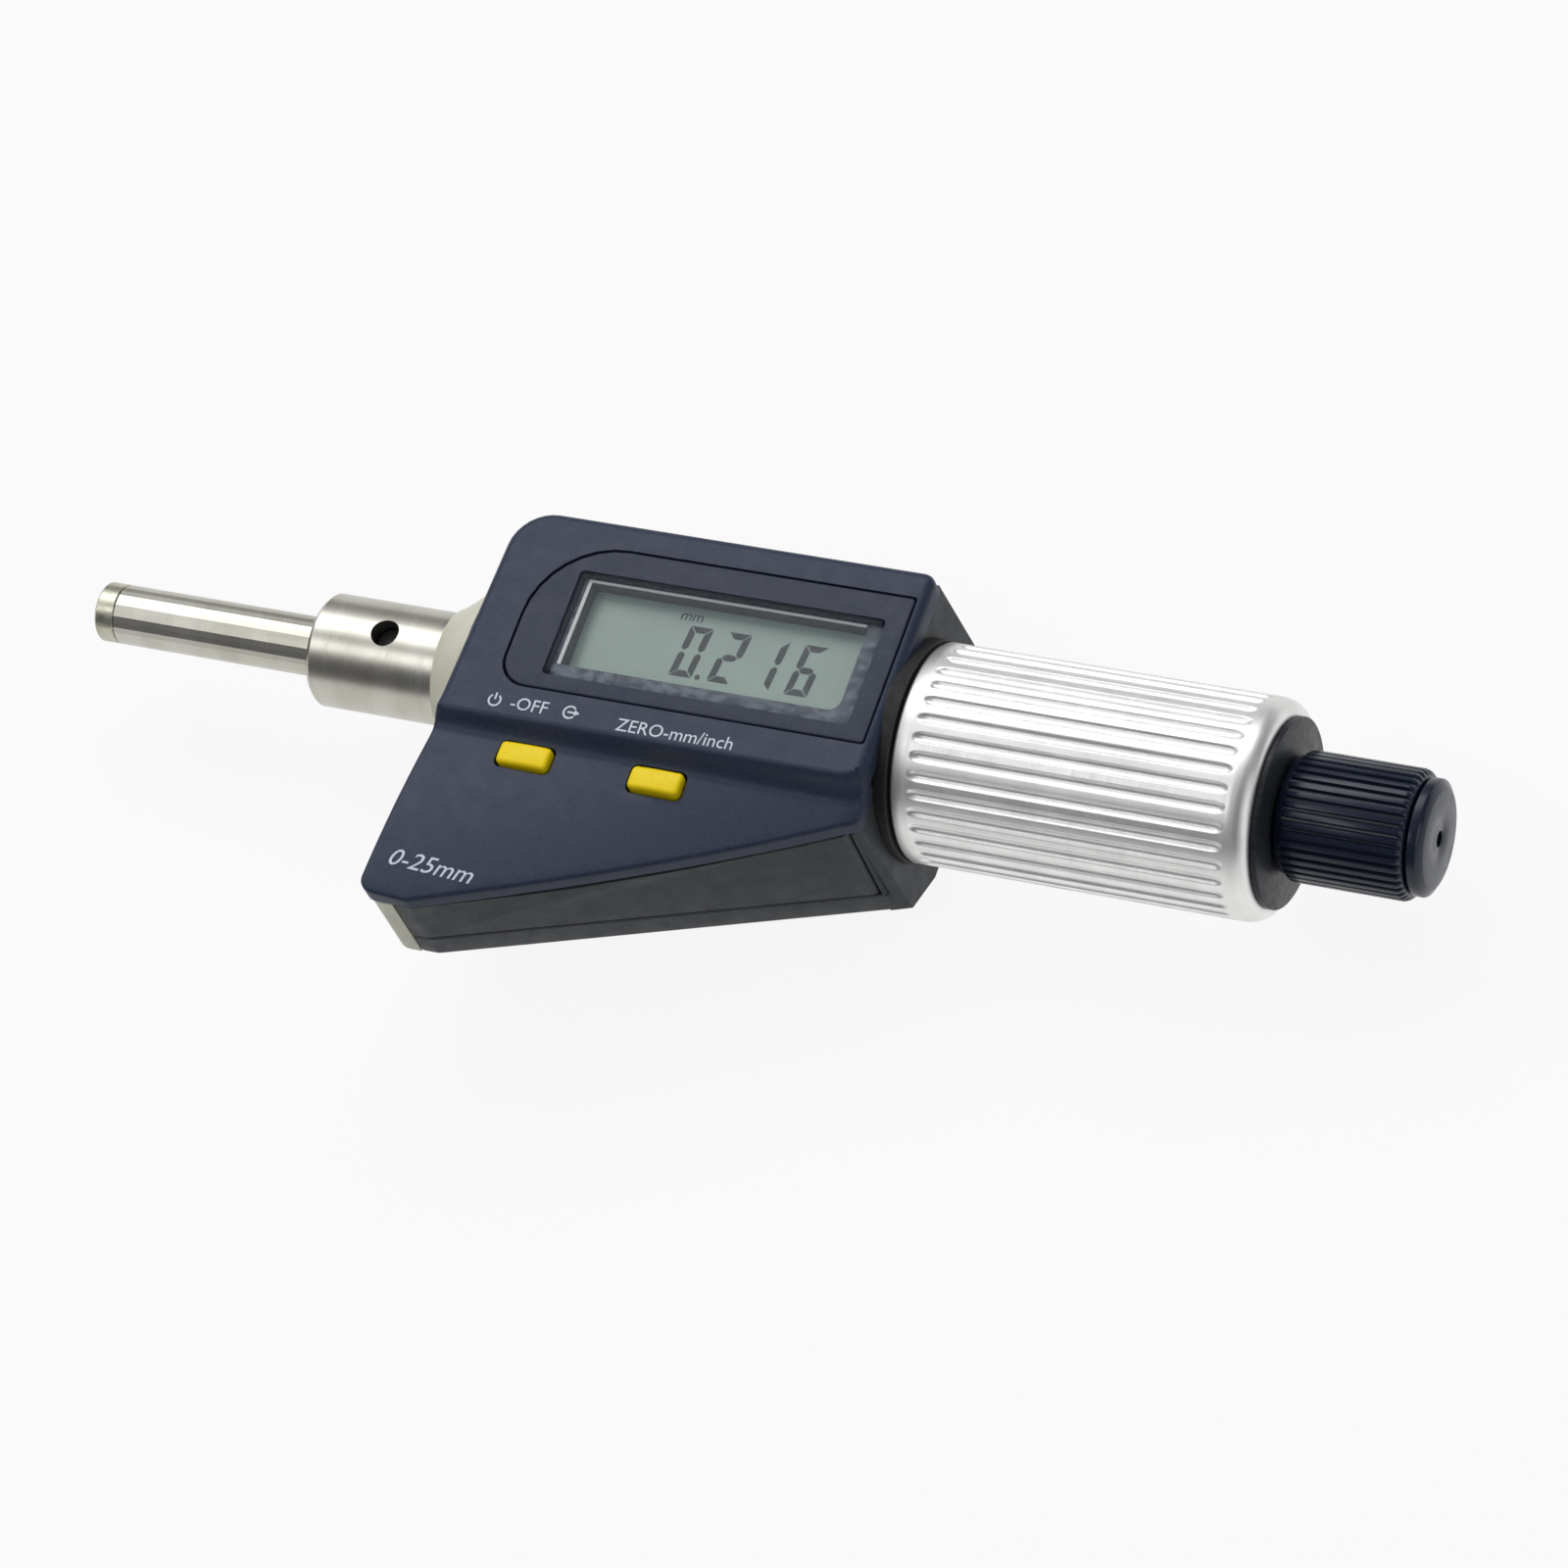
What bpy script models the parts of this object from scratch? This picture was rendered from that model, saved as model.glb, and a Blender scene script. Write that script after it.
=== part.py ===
"""Digital micrometer head, built in Blender 4.5.

The X axis is the spindle's axis, from the measuring face at the origin to the ratchet cap.
+Z is the way the display looks, and the head lies on its flat back.
"""

import math

import bmesh
import bpy
from mathutils import Matrix, Vector

MM = 0.001

# General clearances and walls
GAP = 0.3 * MM
RUN = 0.3 * MM
OVERSHOOT = 2.0 * MM
FAR_Z = 30.0 * MM
FAR_MARGIN = 10.0 * MM
ROUND_SIDES = 48
SMALL_SIDES = 24

# Spindle and its travel
SPINDLE_R = 3.175 * MM
TIP_LENGTH = 2.2 * MM
TIP_CHAMFER = 0.25 * MM
TRAVEL = 25.0 * MM
THREAD_R = 3.8 * MM
THREAD_LENGTH = 38.0 * MM
THREAD_SETBACK = 2.0 * MM
KEYWAY_WIDTH = 1.6 * MM
KEYWAY_DEPTH = 1.0 * MM

# Clamping stem
SPINDLE_REACH = 26.8 * MM
STEM_R = 6.0 * MM
STEM_LENGTH = 15.4 * MM
STEM_CHAMFER = 0.5 * MM
STEM_HOLE_R = 1.55 * MM
STEM_HOLE_FROM_END = 8.5 * MM
SEAL_R = 4.7 * MM
SEAL_DEPTH = 2.0 * MM

# Chassis
BOSS_LENGTH = 4.2 * MM
BOSS_R = 6.6 * MM
BOSS_FLARE = 4.0 * MM
SLAB = 3.0 * MM
BARREL_R = 8.0 * MM
BARREL_LENGTH = 2.4 * MM
FLOOR_WIDTH = 14.0 * MM
FLOOR_THICKNESS = 1.2 * MM
BLOCK_LENGTH = 8.6 * MM
BLOCK_WIDTH = 16.0 * MM
BLOCK_TOP = 6.2 * MM

# Housing outline, seen from the front
HOUSING_X = SPINDLE_REACH + STEM_LENGTH + BOSS_LENGTH
HOUSING_LENGTH = 47.3 * MM
LEFT_LEAN = 1.2 * MM
HOUSING_TOP = 14.3 * MM
HOUSING_BOTTOM = -31.7 * MM
FOOT_LENGTH = 5.0 * MM
RIGHT_BOTTOM = -13.7 * MM
TOP_LEFT_R = 4.6 * MM
CORNER_R = 1.6 * MM
SHARP_R = 1.1 * MM
LID_OVERHANG = 0.7 * MM

# Housing depth
PANEL_Z = 11.6 * MM
BACK_Z = -12.0 * MM
BACK_FLAT_LOW = -8.0 * MM
BACK_FLAT_HIGH = 8.0 * MM
BACK_TOP_RISE = 4.0 * MM
BACK_FOOT_Z = -1.0 * MM
COVER_DEPTH = 3.5 * MM
WALL = 1.6 * MM
PANEL_WALL = 2.6 * MM
COVER_WALL = 1.5 * MM
EDGE_ROUND = 0.7 * MM

# Button face: a shallow dish under the display panel
CREASE_Y = -10.1 * MM
CREASE_RUN = 2.2 * MM
DISH_LEFT_DEPTH = 1.6 * MM
DISH_RIGHT_DEPTH = 2.7 * MM
DISH_LEFT_SLOPE = 0.07
DISH_RIGHT_SLOPE = -0.30
DISH_RUNS = (6.0 * MM, 12.0 * MM, 18.0 * MM, 26.0 * MM)

# End wall and thimble seat
END_WALL = 2.2 * MM
END_DRAFT = 1.8 * MM
SEAT_R = 11.5 * MM

# Display
BEZEL_DEPTH = 1.2 * MM
BEZEL_TOP = 10.8 * MM
BEZEL_BOTTOM = -6.0 * MM
BEZEL_LEFT = 6.1 * MM
BEZEL_RIGHT = 0.55 * MM
BEZEL_SMALL_R = 3.2 * MM
BEZEL_LARGE_R = 9.0 * MM
WINDOW_LEFT = 10.6 * MM
WINDOW_RIGHT = 2.8 * MM
WINDOW_TOP = 7.9 * MM
WINDOW_BOTTOM = -4.3 * MM
WINDOW_PROUD = 0.15 * MM
WINDOW_BEVEL = 0.45 * MM
WINDOW_LEDGE = 1.7 * MM
LCD_THICKNESS = 0.7 * MM
LCD_MARGIN = 0.9 * MM
BOARD_Z = 4.9 * MM
BOARD_THICKNESS = 0.6 * MM
BOARD_TOP = 8.2 * MM
BOARD_BOTTOM = -15.0 * MM
CONNECTOR_WIDTH = 1.4 * MM

# Buttons
BUTTON_LENGTH = 5.7 * MM
BUTTON_WIDTH = 2.6 * MM
BUTTON_Y = -13.3 * MM
BUTTON_1_X = 11.4 * MM
BUTTON_2_X = 26.0 * MM
BUTTON_PROUD = 0.9 * MM
BUTTON_TRAVEL = 0.5 * MM
BUTTON_FLANGE = 0.6 * MM
BUTTON_FLANGE_THICKNESS = 0.4 * MM
BUTTON_ROUND = 0.55 * MM
PAD_THICKNESS = 0.4 * MM

# Encoder
ENCODER_R = 7.9 * MM
STATOR_THICKNESS = 1.0 * MM
ROTOR_THICKNESS = 1.0 * MM
HUB_R = 4.6 * MM
HUB_LENGTH = 4.9 * MM
BRACKET_THICKNESS = 1.2 * MM
BRACKET_WIDTH = 12.0 * MM
BRACKET_TOP = 4.3 * MM

# Battery and its cap, on the sloped part of the back
CELL_R = 5.8 * MM
CELL_HEIGHT = 5.4 * MM
CELL_X = 13.6 * MM
CELL_Y = -19.0 * MM
CAP_R = 6.6 * MM
CAP_THICKNESS = 1.5 * MM
CAP_SINK = 0.25 * MM
WELL_WALL = 0.8 * MM
WELL_DEPTH = 3.4 * MM
COIN_SLOT_LENGTH = 8.0 * MM
COIN_SLOT_WIDTH = 1.4 * MM
COIN_SLOT_DEPTH = 0.7 * MM
SEAL_RING = 0.5 * MM
CONTACT_LENGTH = 7.0 * MM
CONTACT_WIDTH = 3.0 * MM
CONTACT_THICKNESS = 0.4 * MM

# Screws through the rear cover
SCREW_R = 0.8 * MM
SCREW_HEAD_R = 1.5 * MM
SCREW_HEAD = 0.9 * MM
SCREW_LENGTH = 8.0 * MM
SCREW_SINK = 0.4 * MM
PILLAR_R = 2.0 * MM
SCREW_INSET = 4.0 * MM

# Inner sleeve
SLEEVE_R = 8.3 * MM
SLEEVE_SHANK_R = 5.25 * MM
SLEEVE_BORE_R = 4.15 * MM
SLEEVE_THREAD_R = 7.1 * MM
NUT_R = 8.7 * MM
NUT_LENGTH = 7.0 * MM
NUT_NOTCHES = 6
SLEEVE_SHORTER = 13.4 * MM

# Thimble
THIMBLE_GAP = 0.3 * MM
THIMBLE_R = 11.34 * MM
THIMBLE_BORE_R = 9.15 * MM
THIMBLE_LENGTH = 37.8 * MM
THIMBLE_EDGE = 0.35 * MM
THIMBLE_SHOULDER = 2.1 * MM
THIMBLE_RIM_R = 9.95 * MM
THIMBLE_HUB = 5.2 * MM
GROOVE_COUNT = 36
GROOVE_START = 1.9 * MM
GROOVE_LENGTH = 33.6 * MM
GROOVE_R = 0.62 * MM
GROOVE_LIFT = 0.25 * MM
GROOVE_TAPER = 1.3 * MM
GROOVE_SIDES = 8
STUB_R = 3.1 * MM
DISC_R = 9.75 * MM
DISC_THICKNESS = 0.6 * MM
DISC_SEAM = 0.15 * MM

# Ratchet
KNOB_GAP = 0.3 * MM
KNOB_R = 6.65 * MM
KNOB_ROOT_R = 6.2 * MM
KNOB_CUFF = 0.8 * MM
KNOB_CUFF_R = 6.0 * MM
KNOB_LENGTH = 13.5 * MM
KNOB_CHAMFER = 0.5 * MM
KNOB_RIBS = 40
KNOB_BORE_R = 5.0 * MM
KNOB_WALL = 1.4 * MM
CAP_END_R = 5.95 * MM
CAP_FACE_R = 5.1 * MM
CAP_BAND = 0.9 * MM
CAP_BEVEL = 0.6 * MM
CAP_PLUG = 2.4 * MM
PIN_HOLE_R = 0.9 * MM
BOLT_R = 1.6 * MM
BOLT_HEAD_R = 3.1 * MM
BOLT_HEAD = 1.6 * MM
BOLT_IN_SPINDLE = 7.0 * MM
PLATE_R = 4.5 * MM
PLATE_TEETH = 16
PLATE_THICKNESS = 1.0 * MM
SPRING_WIRE_R = 0.25 * MM
SPRING_R = 2.75 * MM
SPRING_LENGTH = 2.6 * MM
SPRING_TURNS = 4

# Stations worked out along the axis
STEM_END = SPINDLE_REACH + STEM_LENGTH
SLAB_INNER = HOUSING_X + SLAB
BARREL_END = SLAB_INNER + BARREL_LENGTH
STATOR_X = BARREL_END + GAP
ROTOR_X = STATOR_X + STATOR_THICKNESS + RUN
HUB_END = ROTOR_X + ROTOR_THICKNESS + HUB_LENGTH
BRACKET_X = HUB_END + RUN
SHELL_RIGHT = HOUSING_X + HOUSING_LENGTH
FRAME_RIGHT = SHELL_RIGHT - LID_OVERHANG
WALL_INNER = FRAME_RIGHT + GAP
BLOCK_END = WALL_INNER - GAP
BLOCK_START = BLOCK_END - BLOCK_LENGTH
SEAT_X = WALL_INNER + END_WALL
SLEEVE_X = SEAT_X + GAP
SLEEVE_LENGTH = THIMBLE_LENGTH - SLEEVE_SHORTER
SLEEVE_END = SLEEVE_X + SLEEVE_LENGTH
THIMBLE_X = SEAT_X + THIMBLE_GAP
THIMBLE_END = THIMBLE_X + THIMBLE_LENGTH
STUB_END = THIMBLE_END - GAP
THREAD_START = SLEEVE_END - THREAD_LENGTH - THREAD_SETBACK
THREAD_END = THREAD_START + THREAD_LENGTH
DISC_END = THIMBLE_END + DISC_SEAM + DISC_THICKNESS
KNOB_X = DISC_END + KNOB_GAP
KNOB_END = KNOB_X + KNOB_LENGTH
BOARD_CEILING = PANEL_Z - PANEL_WALL
BACK_SLOPE = (BACK_FOOT_Z - BACK_Z) / (BACK_FLAT_LOW - HOUSING_BOTTOM)
SIDE_SLANT = (RIGHT_BOTTOM - HOUSING_BOTTOM) / (HOUSING_LENGTH - FOOT_LENGTH)


def clear_scene():
    """Remove what the scene holds, and start two collections."""
    for thing in list(bpy.data.objects):
        bpy.data.objects.remove(thing, do_unlink=True)
    parts = bpy.data.collections.new("digital_micrometer_head")
    cutters = bpy.data.collections.new("cutters")
    for group in (parts, cutters):
        bpy.context.scene.collection.children.link(group)
    return parts, cutters


PARTS, CUTTERS = clear_scene()


def material(name, color, roughness, metallic=0.0, alpha=1.0):
    """A Principled BSDF with one colour."""
    made = bpy.data.materials.new(name)
    made.use_nodes = True
    shader = made.node_tree.nodes["Principled BSDF"]
    shader.inputs["Base Color"].default_value = (*color, 1.0)
    shader.inputs["Roughness"].default_value = roughness
    shader.inputs["Metallic"].default_value = metallic
    shader.inputs["Alpha"].default_value = alpha
    return made


STEEL = material("brushed_steel", (0.62, 0.61, 0.58), 0.32, 1.0)
CARBIDE = material("carbide", (0.33, 0.33, 0.33), 0.35, 1.0)
CREAM = material("cream_paint", (0.64, 0.63, 0.53), 0.45)
SHELL = material("shell_plastic", (0.075, 0.088, 0.120), 0.55)
COVER = material("cover_plastic", (0.045, 0.050, 0.056), 0.6)
CLEAR = material("clear_window", (0.86, 0.89, 0.88), 0.06, 0.0, 0.35)
DISPLAY = material("display_glass", (0.36, 0.42, 0.39), 0.25)
YELLOW = material("button_yellow", (0.85, 0.65, 0.03), 0.4)
ALUMINIUM = material("satin_aluminium", (0.80, 0.80, 0.79), 0.38, 1.0)
BLACK = material("black_disc", (0.03, 0.032, 0.038), 0.5)
KNOB = material("knob_plastic", (0.022, 0.028, 0.042), 0.42)
RUBBER = material("rubber", (0.02, 0.02, 0.02), 0.8)
BOARD = material("circuit_board", (0.02, 0.14, 0.06), 0.5)
BRASS = material("brass", (0.72, 0.52, 0.22), 0.35, 1.0)


def add_object(name, mesh, finish=None):
    """Link a mesh as a part, or as a cutter where it has no finish."""
    made = bpy.data.objects.new(name, mesh)
    if finish is None:
        CUTTERS.objects.link(made)
        made.hide_render = True
        made.display_type = "WIRE"
    else:
        PARTS.objects.link(made)
        mesh.materials.append(finish)
    return made


def mesh_of(name, bm):
    """Turn a bmesh into a mesh with outward faces."""
    bmesh.ops.recalc_face_normals(bm, faces=bm.faces)
    mesh = bpy.data.meshes.new(name)
    bm.to_mesh(mesh)
    bm.free()
    return mesh


def box(name, low, high, finish=None):
    """A block between two corners."""
    bm = bmesh.new()
    bmesh.ops.create_cube(bm, size=1.0)
    size = Vector(high) - Vector(low)
    middle = (Vector(high) + Vector(low)) / 2
    bmesh.ops.scale(bm, vec=size, verts=bm.verts)
    bmesh.ops.translate(bm, vec=middle, verts=bm.verts)
    return add_object(name, mesh_of(name, bm), finish)


def loft(name, rings, finish=None):
    """A closed body through rings that have the same number of points."""
    bm = bmesh.new()
    loops = [[bm.verts.new(point) for point in ring] for ring in rings]
    for near, far in zip(loops, loops[1:]):
        for i in range(len(near)):
            j = (i + 1) % len(near)
            bm.faces.new((near[i], near[j], far[j], far[i]))
    bm.faces.new(loops[0])
    bm.faces.new(loops[-1])
    return add_object(name, mesh_of(name, bm), finish)


def plate(name, outline, low, high, finish=None):
    """A plan outline, extruded along Z."""
    rings = [[(x, y, z) for x, y in outline] for z in (low, high)]
    return loft(name, rings, finish)


def section_bar(name, section, start, end, finish=None):
    """A section in the YZ plane, extruded along X."""
    rings = [[(x, y, z) for y, z in section] for x in (start, end)]
    return loft(name, rings, finish)


def turned(name, profile, finish=None, sides=ROUND_SIDES, smooth=True):
    """A profile of (x, radius) points, turned about the X axis by a Screw modifier."""
    mesh = bpy.data.meshes.new(name)
    verts = [(x, 0.0, r) for x, r in profile]
    edges = [(i, i + 1) for i in range(len(verts) - 1)]
    if profile[0][1] > 0 or profile[-1][1] > 0:
        edges.append((len(verts) - 1, 0))
    mesh.from_pydata(verts, edges, [])
    made = add_object(name, mesh, finish)
    screw = made.modifiers.new("turn", "SCREW")
    screw.axis = "X"
    screw.angle = 2 * math.pi
    screw.steps = sides
    screw.render_steps = sides
    screw.use_merge_vertices = True
    screw.merge_threshold = 0.00001
    screw.use_smooth_shade = smooth
    screw.use_normal_calculate = False
    return made


def rod(name, start, direction, radius, length, finish=None, sides=SMALL_SIDES):
    """A cylinder from a point along a direction."""
    bm = bmesh.new()
    bmesh.ops.create_cone(bm, cap_ends=True, segments=sides, radius1=radius, radius2=radius, depth=length)
    bmesh.ops.translate(bm, vec=(0, 0, length / 2), verts=bm.verts)
    turn = Vector((0, 0, 1)).rotation_difference(Vector(direction)).to_matrix().to_4x4()
    bmesh.ops.transform(bm, matrix=Matrix.Translation(start) @ turn, verts=bm.verts)
    return add_object(name, mesh_of(name, bm), finish)


def merged(name, pieces, finish=None):
    """One object from the separate bodies of several cutters."""
    bm = bmesh.new()
    for piece in pieces:
        bm.from_mesh(piece.data)
        bpy.data.objects.remove(piece, do_unlink=True)
    return add_object(name, mesh_of(name, bm), finish)


def combine(target, tool, operation):
    """A Boolean modifier with the EXACT solver."""
    boolean = target.modifiers.new(tool.name, "BOOLEAN")
    boolean.operation = operation
    boolean.object = tool
    boolean.solver = "EXACT"
    return boolean


def cut(target, tool):
    combine(target, tool, "DIFFERENCE")


def join(target, tool):
    combine(target, tool, "UNION")


def bevel(target, width, segments=2, angle=40):
    """Round the edges that are sharper than an angle in degrees."""
    rounding = target.modifiers.new("rounding", "BEVEL")
    rounding.width = width
    rounding.segments = segments
    rounding.limit_method = "ANGLE"
    rounding.angle_limit = math.radians(angle)
    rounding.use_clamp_overlap = True
    return rounding


def rounded(corners, steps=5):
    """Plan outline from corners of (x, y, radius), with an arc at each corner."""
    points = []
    for i, (x, y, radius) in enumerate(corners):
        here = Vector((x, y))
        back = (Vector(corners[i - 1][:2]) - here).normalized()
        ahead = (Vector(corners[(i + 1) % len(corners)][:2]) - here).normalized()
        half = math.acos(max(-1.0, min(1.0, back.dot(ahead)))) / 2
        reach = radius / math.tan(half)
        centre = here + (back + ahead).normalized() * (radius / math.sin(half))
        start = here + back * reach - centre
        end = here + ahead * reach - centre
        sweep = start.angle_signed(end)
        for k in range(steps + 1):
            turn = -sweep * k / steps
            arm = Vector((start.x * math.cos(turn) - start.y * math.sin(turn),
                          start.x * math.sin(turn) + start.y * math.cos(turn)))
            points.append(tuple(centre + arm))
    return points


def side_y(x):
    """Where the slanted side lies at a station."""
    return RIGHT_BOTTOM + (x - SHELL_RIGHT) * SIDE_SLANT


def housing_corners(inset=0.0, right=SHELL_RIGHT):
    """The housing's corners, moved in from its sides by an inset."""
    raw = [
        (HOUSING_X + LEFT_LEAN, HOUSING_TOP, TOP_LEFT_R),
        (HOUSING_X, HOUSING_BOTTOM, CORNER_R),
        (HOUSING_X + FOOT_LENGTH, HOUSING_BOTTOM, CORNER_R),
        (right, side_y(right), SHARP_R),
        (right, HOUSING_TOP, SHARP_R),
    ]
    moved = []
    for i, (x, y, radius) in enumerate(raw):
        here = Vector((x, y))
        back = (here - Vector(raw[i - 1][:2])).normalized()
        ahead = (Vector(raw[(i + 1) % len(raw)][:2]) - here).normalized()
        normal_back = Vector((-back.y, back.x))
        normal_ahead = Vector((-ahead.y, ahead.x))
        shift = (normal_back + normal_ahead) / (1 + normal_back.dot(normal_ahead))
        spot = here + shift * inset
        moved.append((spot.x, spot.y, max(radius - inset, SHARP_R)))
    return moved


def back_z(y):
    """Height of the back at a place across the housing."""
    if y < BACK_FLAT_LOW:
        return BACK_Z + (BACK_FLAT_LOW - y) * BACK_SLOPE
    if y > BACK_FLAT_HIGH:
        return BACK_Z + (y - BACK_FLAT_HIGH) * BACK_TOP_RISE / (HOUSING_TOP - BACK_FLAT_HIGH)
    return BACK_Z


def back_line(lift):
    """The back's profile as (y, z) points from low y to high y, lifted."""
    spots = (HOUSING_BOTTOM - OVERSHOOT, BACK_FLAT_LOW, BACK_FLAT_HIGH, HOUSING_TOP + OVERSHOOT)
    return [(y, back_z(y) + lift) for y in spots]


FAR_X = (HOUSING_X - FAR_MARGIN, SHELL_RIGHT + FAR_MARGIN)


def below_back(name, lift):
    """A cutter for everything under the lifted back profile."""
    line = back_line(lift)
    section = line + [(line[-1][0], -FAR_Z), (line[0][0], -FAR_Z)]
    return section_bar(name, section, *FAR_X)


def above_back(name, lift):
    """A cutter for everything over the lifted back profile."""
    line = back_line(lift)
    section = line + [(line[-1][0], FAR_Z), (line[0][0], FAR_Z)]
    return section_bar(name, section, *FAR_X)


def along_housing(x):
    """Share of the housing's length at a station, from 0 to 1."""
    return (x - HOUSING_X) / HOUSING_LENGTH


def dish_z(x, y):
    """Height of the button face under the crease."""
    share = along_housing(x)
    floor = PANEL_Z - DISH_LEFT_DEPTH + (DISH_LEFT_DEPTH - DISH_RIGHT_DEPTH) * share
    slope = DISH_LEFT_SLOPE + (DISH_RIGHT_SLOPE - DISH_LEFT_SLOPE) * share
    run = CREASE_Y - y
    if run < CREASE_RUN:
        rest = 1.0 - max(run, 0.0) / CREASE_RUN
        return floor + (PANEL_Z - floor) * rest ** 2.2
    return floor + slope * (run - CREASE_RUN)


def dish(name, drop=0.0, shift=0.0):
    """A cutter over the button face, which can be moved down and towards the panel."""
    stations = [FAR_X[0] + (FAR_X[1] - FAR_X[0]) * i / 8 for i in range(9)]
    steps = [CREASE_RUN * i / 6 for i in range(7)] + list(DISH_RUNS)
    rings = []
    for x in stations:
        line = [(x, CREASE_Y + shift - run, dish_z(x, CREASE_Y - run) - drop) for run in steps]
        top = PANEL_Z + OVERSHOOT
        line.append((x, line[-1][1], top))
        line.append((x, CREASE_Y + shift, top))
        rings.append(line)
    return loft(name, rings)


def screw_places():
    """Four places for the rear screws, from the housing's corners."""
    top = HOUSING_TOP - SCREW_INSET
    return [
        (SLAB_INNER + SCREW_INSET, top),
        (FRAME_RIGHT - SCREW_INSET, top),
        (SLAB_INNER + SCREW_INSET, HOUSING_BOTTOM + 1.25 * SCREW_INSET),
        (SHELL_RIGHT - 1.7 * SCREW_INSET, RIGHT_BOTTOM + 0.4 * SCREW_INSET),
    ]


def screw_seat(y):
    """Height of the underside of a screw's head."""
    return back_z(y) + SCREW_SINK + SCREW_HEAD


def block_room(name, low):
    """A cutter that clears the chassis block at the right end."""
    side = BLOCK_WIDTH / 2 + GAP
    return box(name, (BLOCK_START - GAP, -side, low), (WALL_INNER, side, BLOCK_TOP + GAP))


def under_lid(name):
    """A cutter for everything under the front shell, which is a lid of even thickness."""
    low = (FAR_X[0], HOUSING_BOTTOM - OVERSHOOT, BACK_Z - OVERSHOOT)
    high = (FAR_X[1], HOUSING_TOP + OVERSHOOT, BOARD_CEILING)
    space = box(name, low, high)
    cut(space, dish(f"{name}_dish", WALL, WALL / 2))
    return space


def slab_room(name):
    """A cutter for the place of the chassis's left wall."""
    low = (FAR_X[0], HOUSING_BOTTOM - OVERSHOOT, BACK_Z - OVERSHOOT)
    high = (SLAB_INNER + GAP, HOUSING_TOP + OVERSHOOT, PANEL_Z)
    return box(name, low, high)


def make_front_shell():
    """Lid with the display panel and the button face, and pillars for the screws."""
    shell = plate("front_shell", rounded(housing_corners()), BACK_Z, PANEL_Z, SHELL)
    cut(shell, dish("cut_dish"))
    bevel(shell, EDGE_ROUND, 3, 28)
    cut(shell, under_lid("cut_under_lid"))
    pillars = []
    holes = []
    for i, (x, y) in enumerate(screw_places()):
        foot = back_z(y) + COVER_DEPTH + PILLAR_R
        head = min(BOARD_CEILING, dish_z(x, y) - WALL) + WALL / 2
        pillars.append(rod(f"pillar_{i}", (x, y, foot), (0, 0, 1), PILLAR_R, head - foot, None, 16))
        holes.append(rod(f"pilot_{i}", (x, y, foot - OVERSHOOT), (0, 0, 1), SCREW_R + GAP,
                         SCREW_LENGTH, None, 12))
    join(shell, merged("add_pillars", pillars))
    cut(shell, merged("cut_pilots", holes))
    cut(shell, bezel_plate("cut_bezel_pocket", -GAP, PANEL_Z - BEZEL_DEPTH - GAP, PANEL_Z + OVERSHOOT))
    cut(shell, window_box("cut_shell_window", WINDOW_LEDGE, BOARD_CEILING - OVERSHOOT, PANEL_Z))
    for i, x in enumerate(button_places()):
        cut(shell, button_body(f"cut_button_{i}", x, -GAP, -FAR_Z / 3, PANEL_Z + OVERSHOOT))
    return shell


def make_mid_frame():
    """Side walls between the lid and the rear cover."""
    top = BOARD_CEILING - GAP / 2
    frame = plate("mid_frame", rounded(housing_corners(0.0, FRAME_RIGHT)), BACK_Z, top, COVER)
    cut(frame, below_back("cut_frame_parting", COVER_DEPTH))
    cut(frame, dish("cut_frame_dish", WALL + GAP / 2, WALL / 2))
    room = rounded(housing_corners(WALL, FRAME_RIGHT), 3)
    cut(frame, plate("cut_frame_room", room, BACK_Z - OVERSHOOT, PANEL_Z))
    cut(frame, slab_room("cut_frame_slab"))
    cut(frame, block_room("cut_frame_block", BACK_Z - OVERSHOOT))
    return frame


def bezel_outline(inset):
    """The display insert's outline, with a round left end."""
    left = HOUSING_X + BEZEL_LEFT + inset
    right = SHELL_RIGHT - BEZEL_RIGHT - inset
    corners = [
        (left, BEZEL_TOP - inset, BEZEL_LARGE_R),
        (left, BEZEL_BOTTOM + inset, BEZEL_SMALL_R),
        (right, BEZEL_BOTTOM + inset, SHARP_R / 4),
        (right, BEZEL_TOP - inset, SHARP_R / 4),
    ]
    return rounded(corners, 6)


def bezel_plate(name, inset, low, high, finish=None):
    return plate(name, bezel_outline(inset), low, high, finish)


def window_box(name, inset, low, high, finish=None):
    """A block in the window's outline, moved in by an inset."""
    corner = (HOUSING_X + WINDOW_LEFT + inset, WINDOW_BOTTOM + inset, low)
    other = (SHELL_RIGHT - WINDOW_RIGHT - inset, WINDOW_TOP - inset, high)
    return box(name, corner, other, finish)


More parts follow.
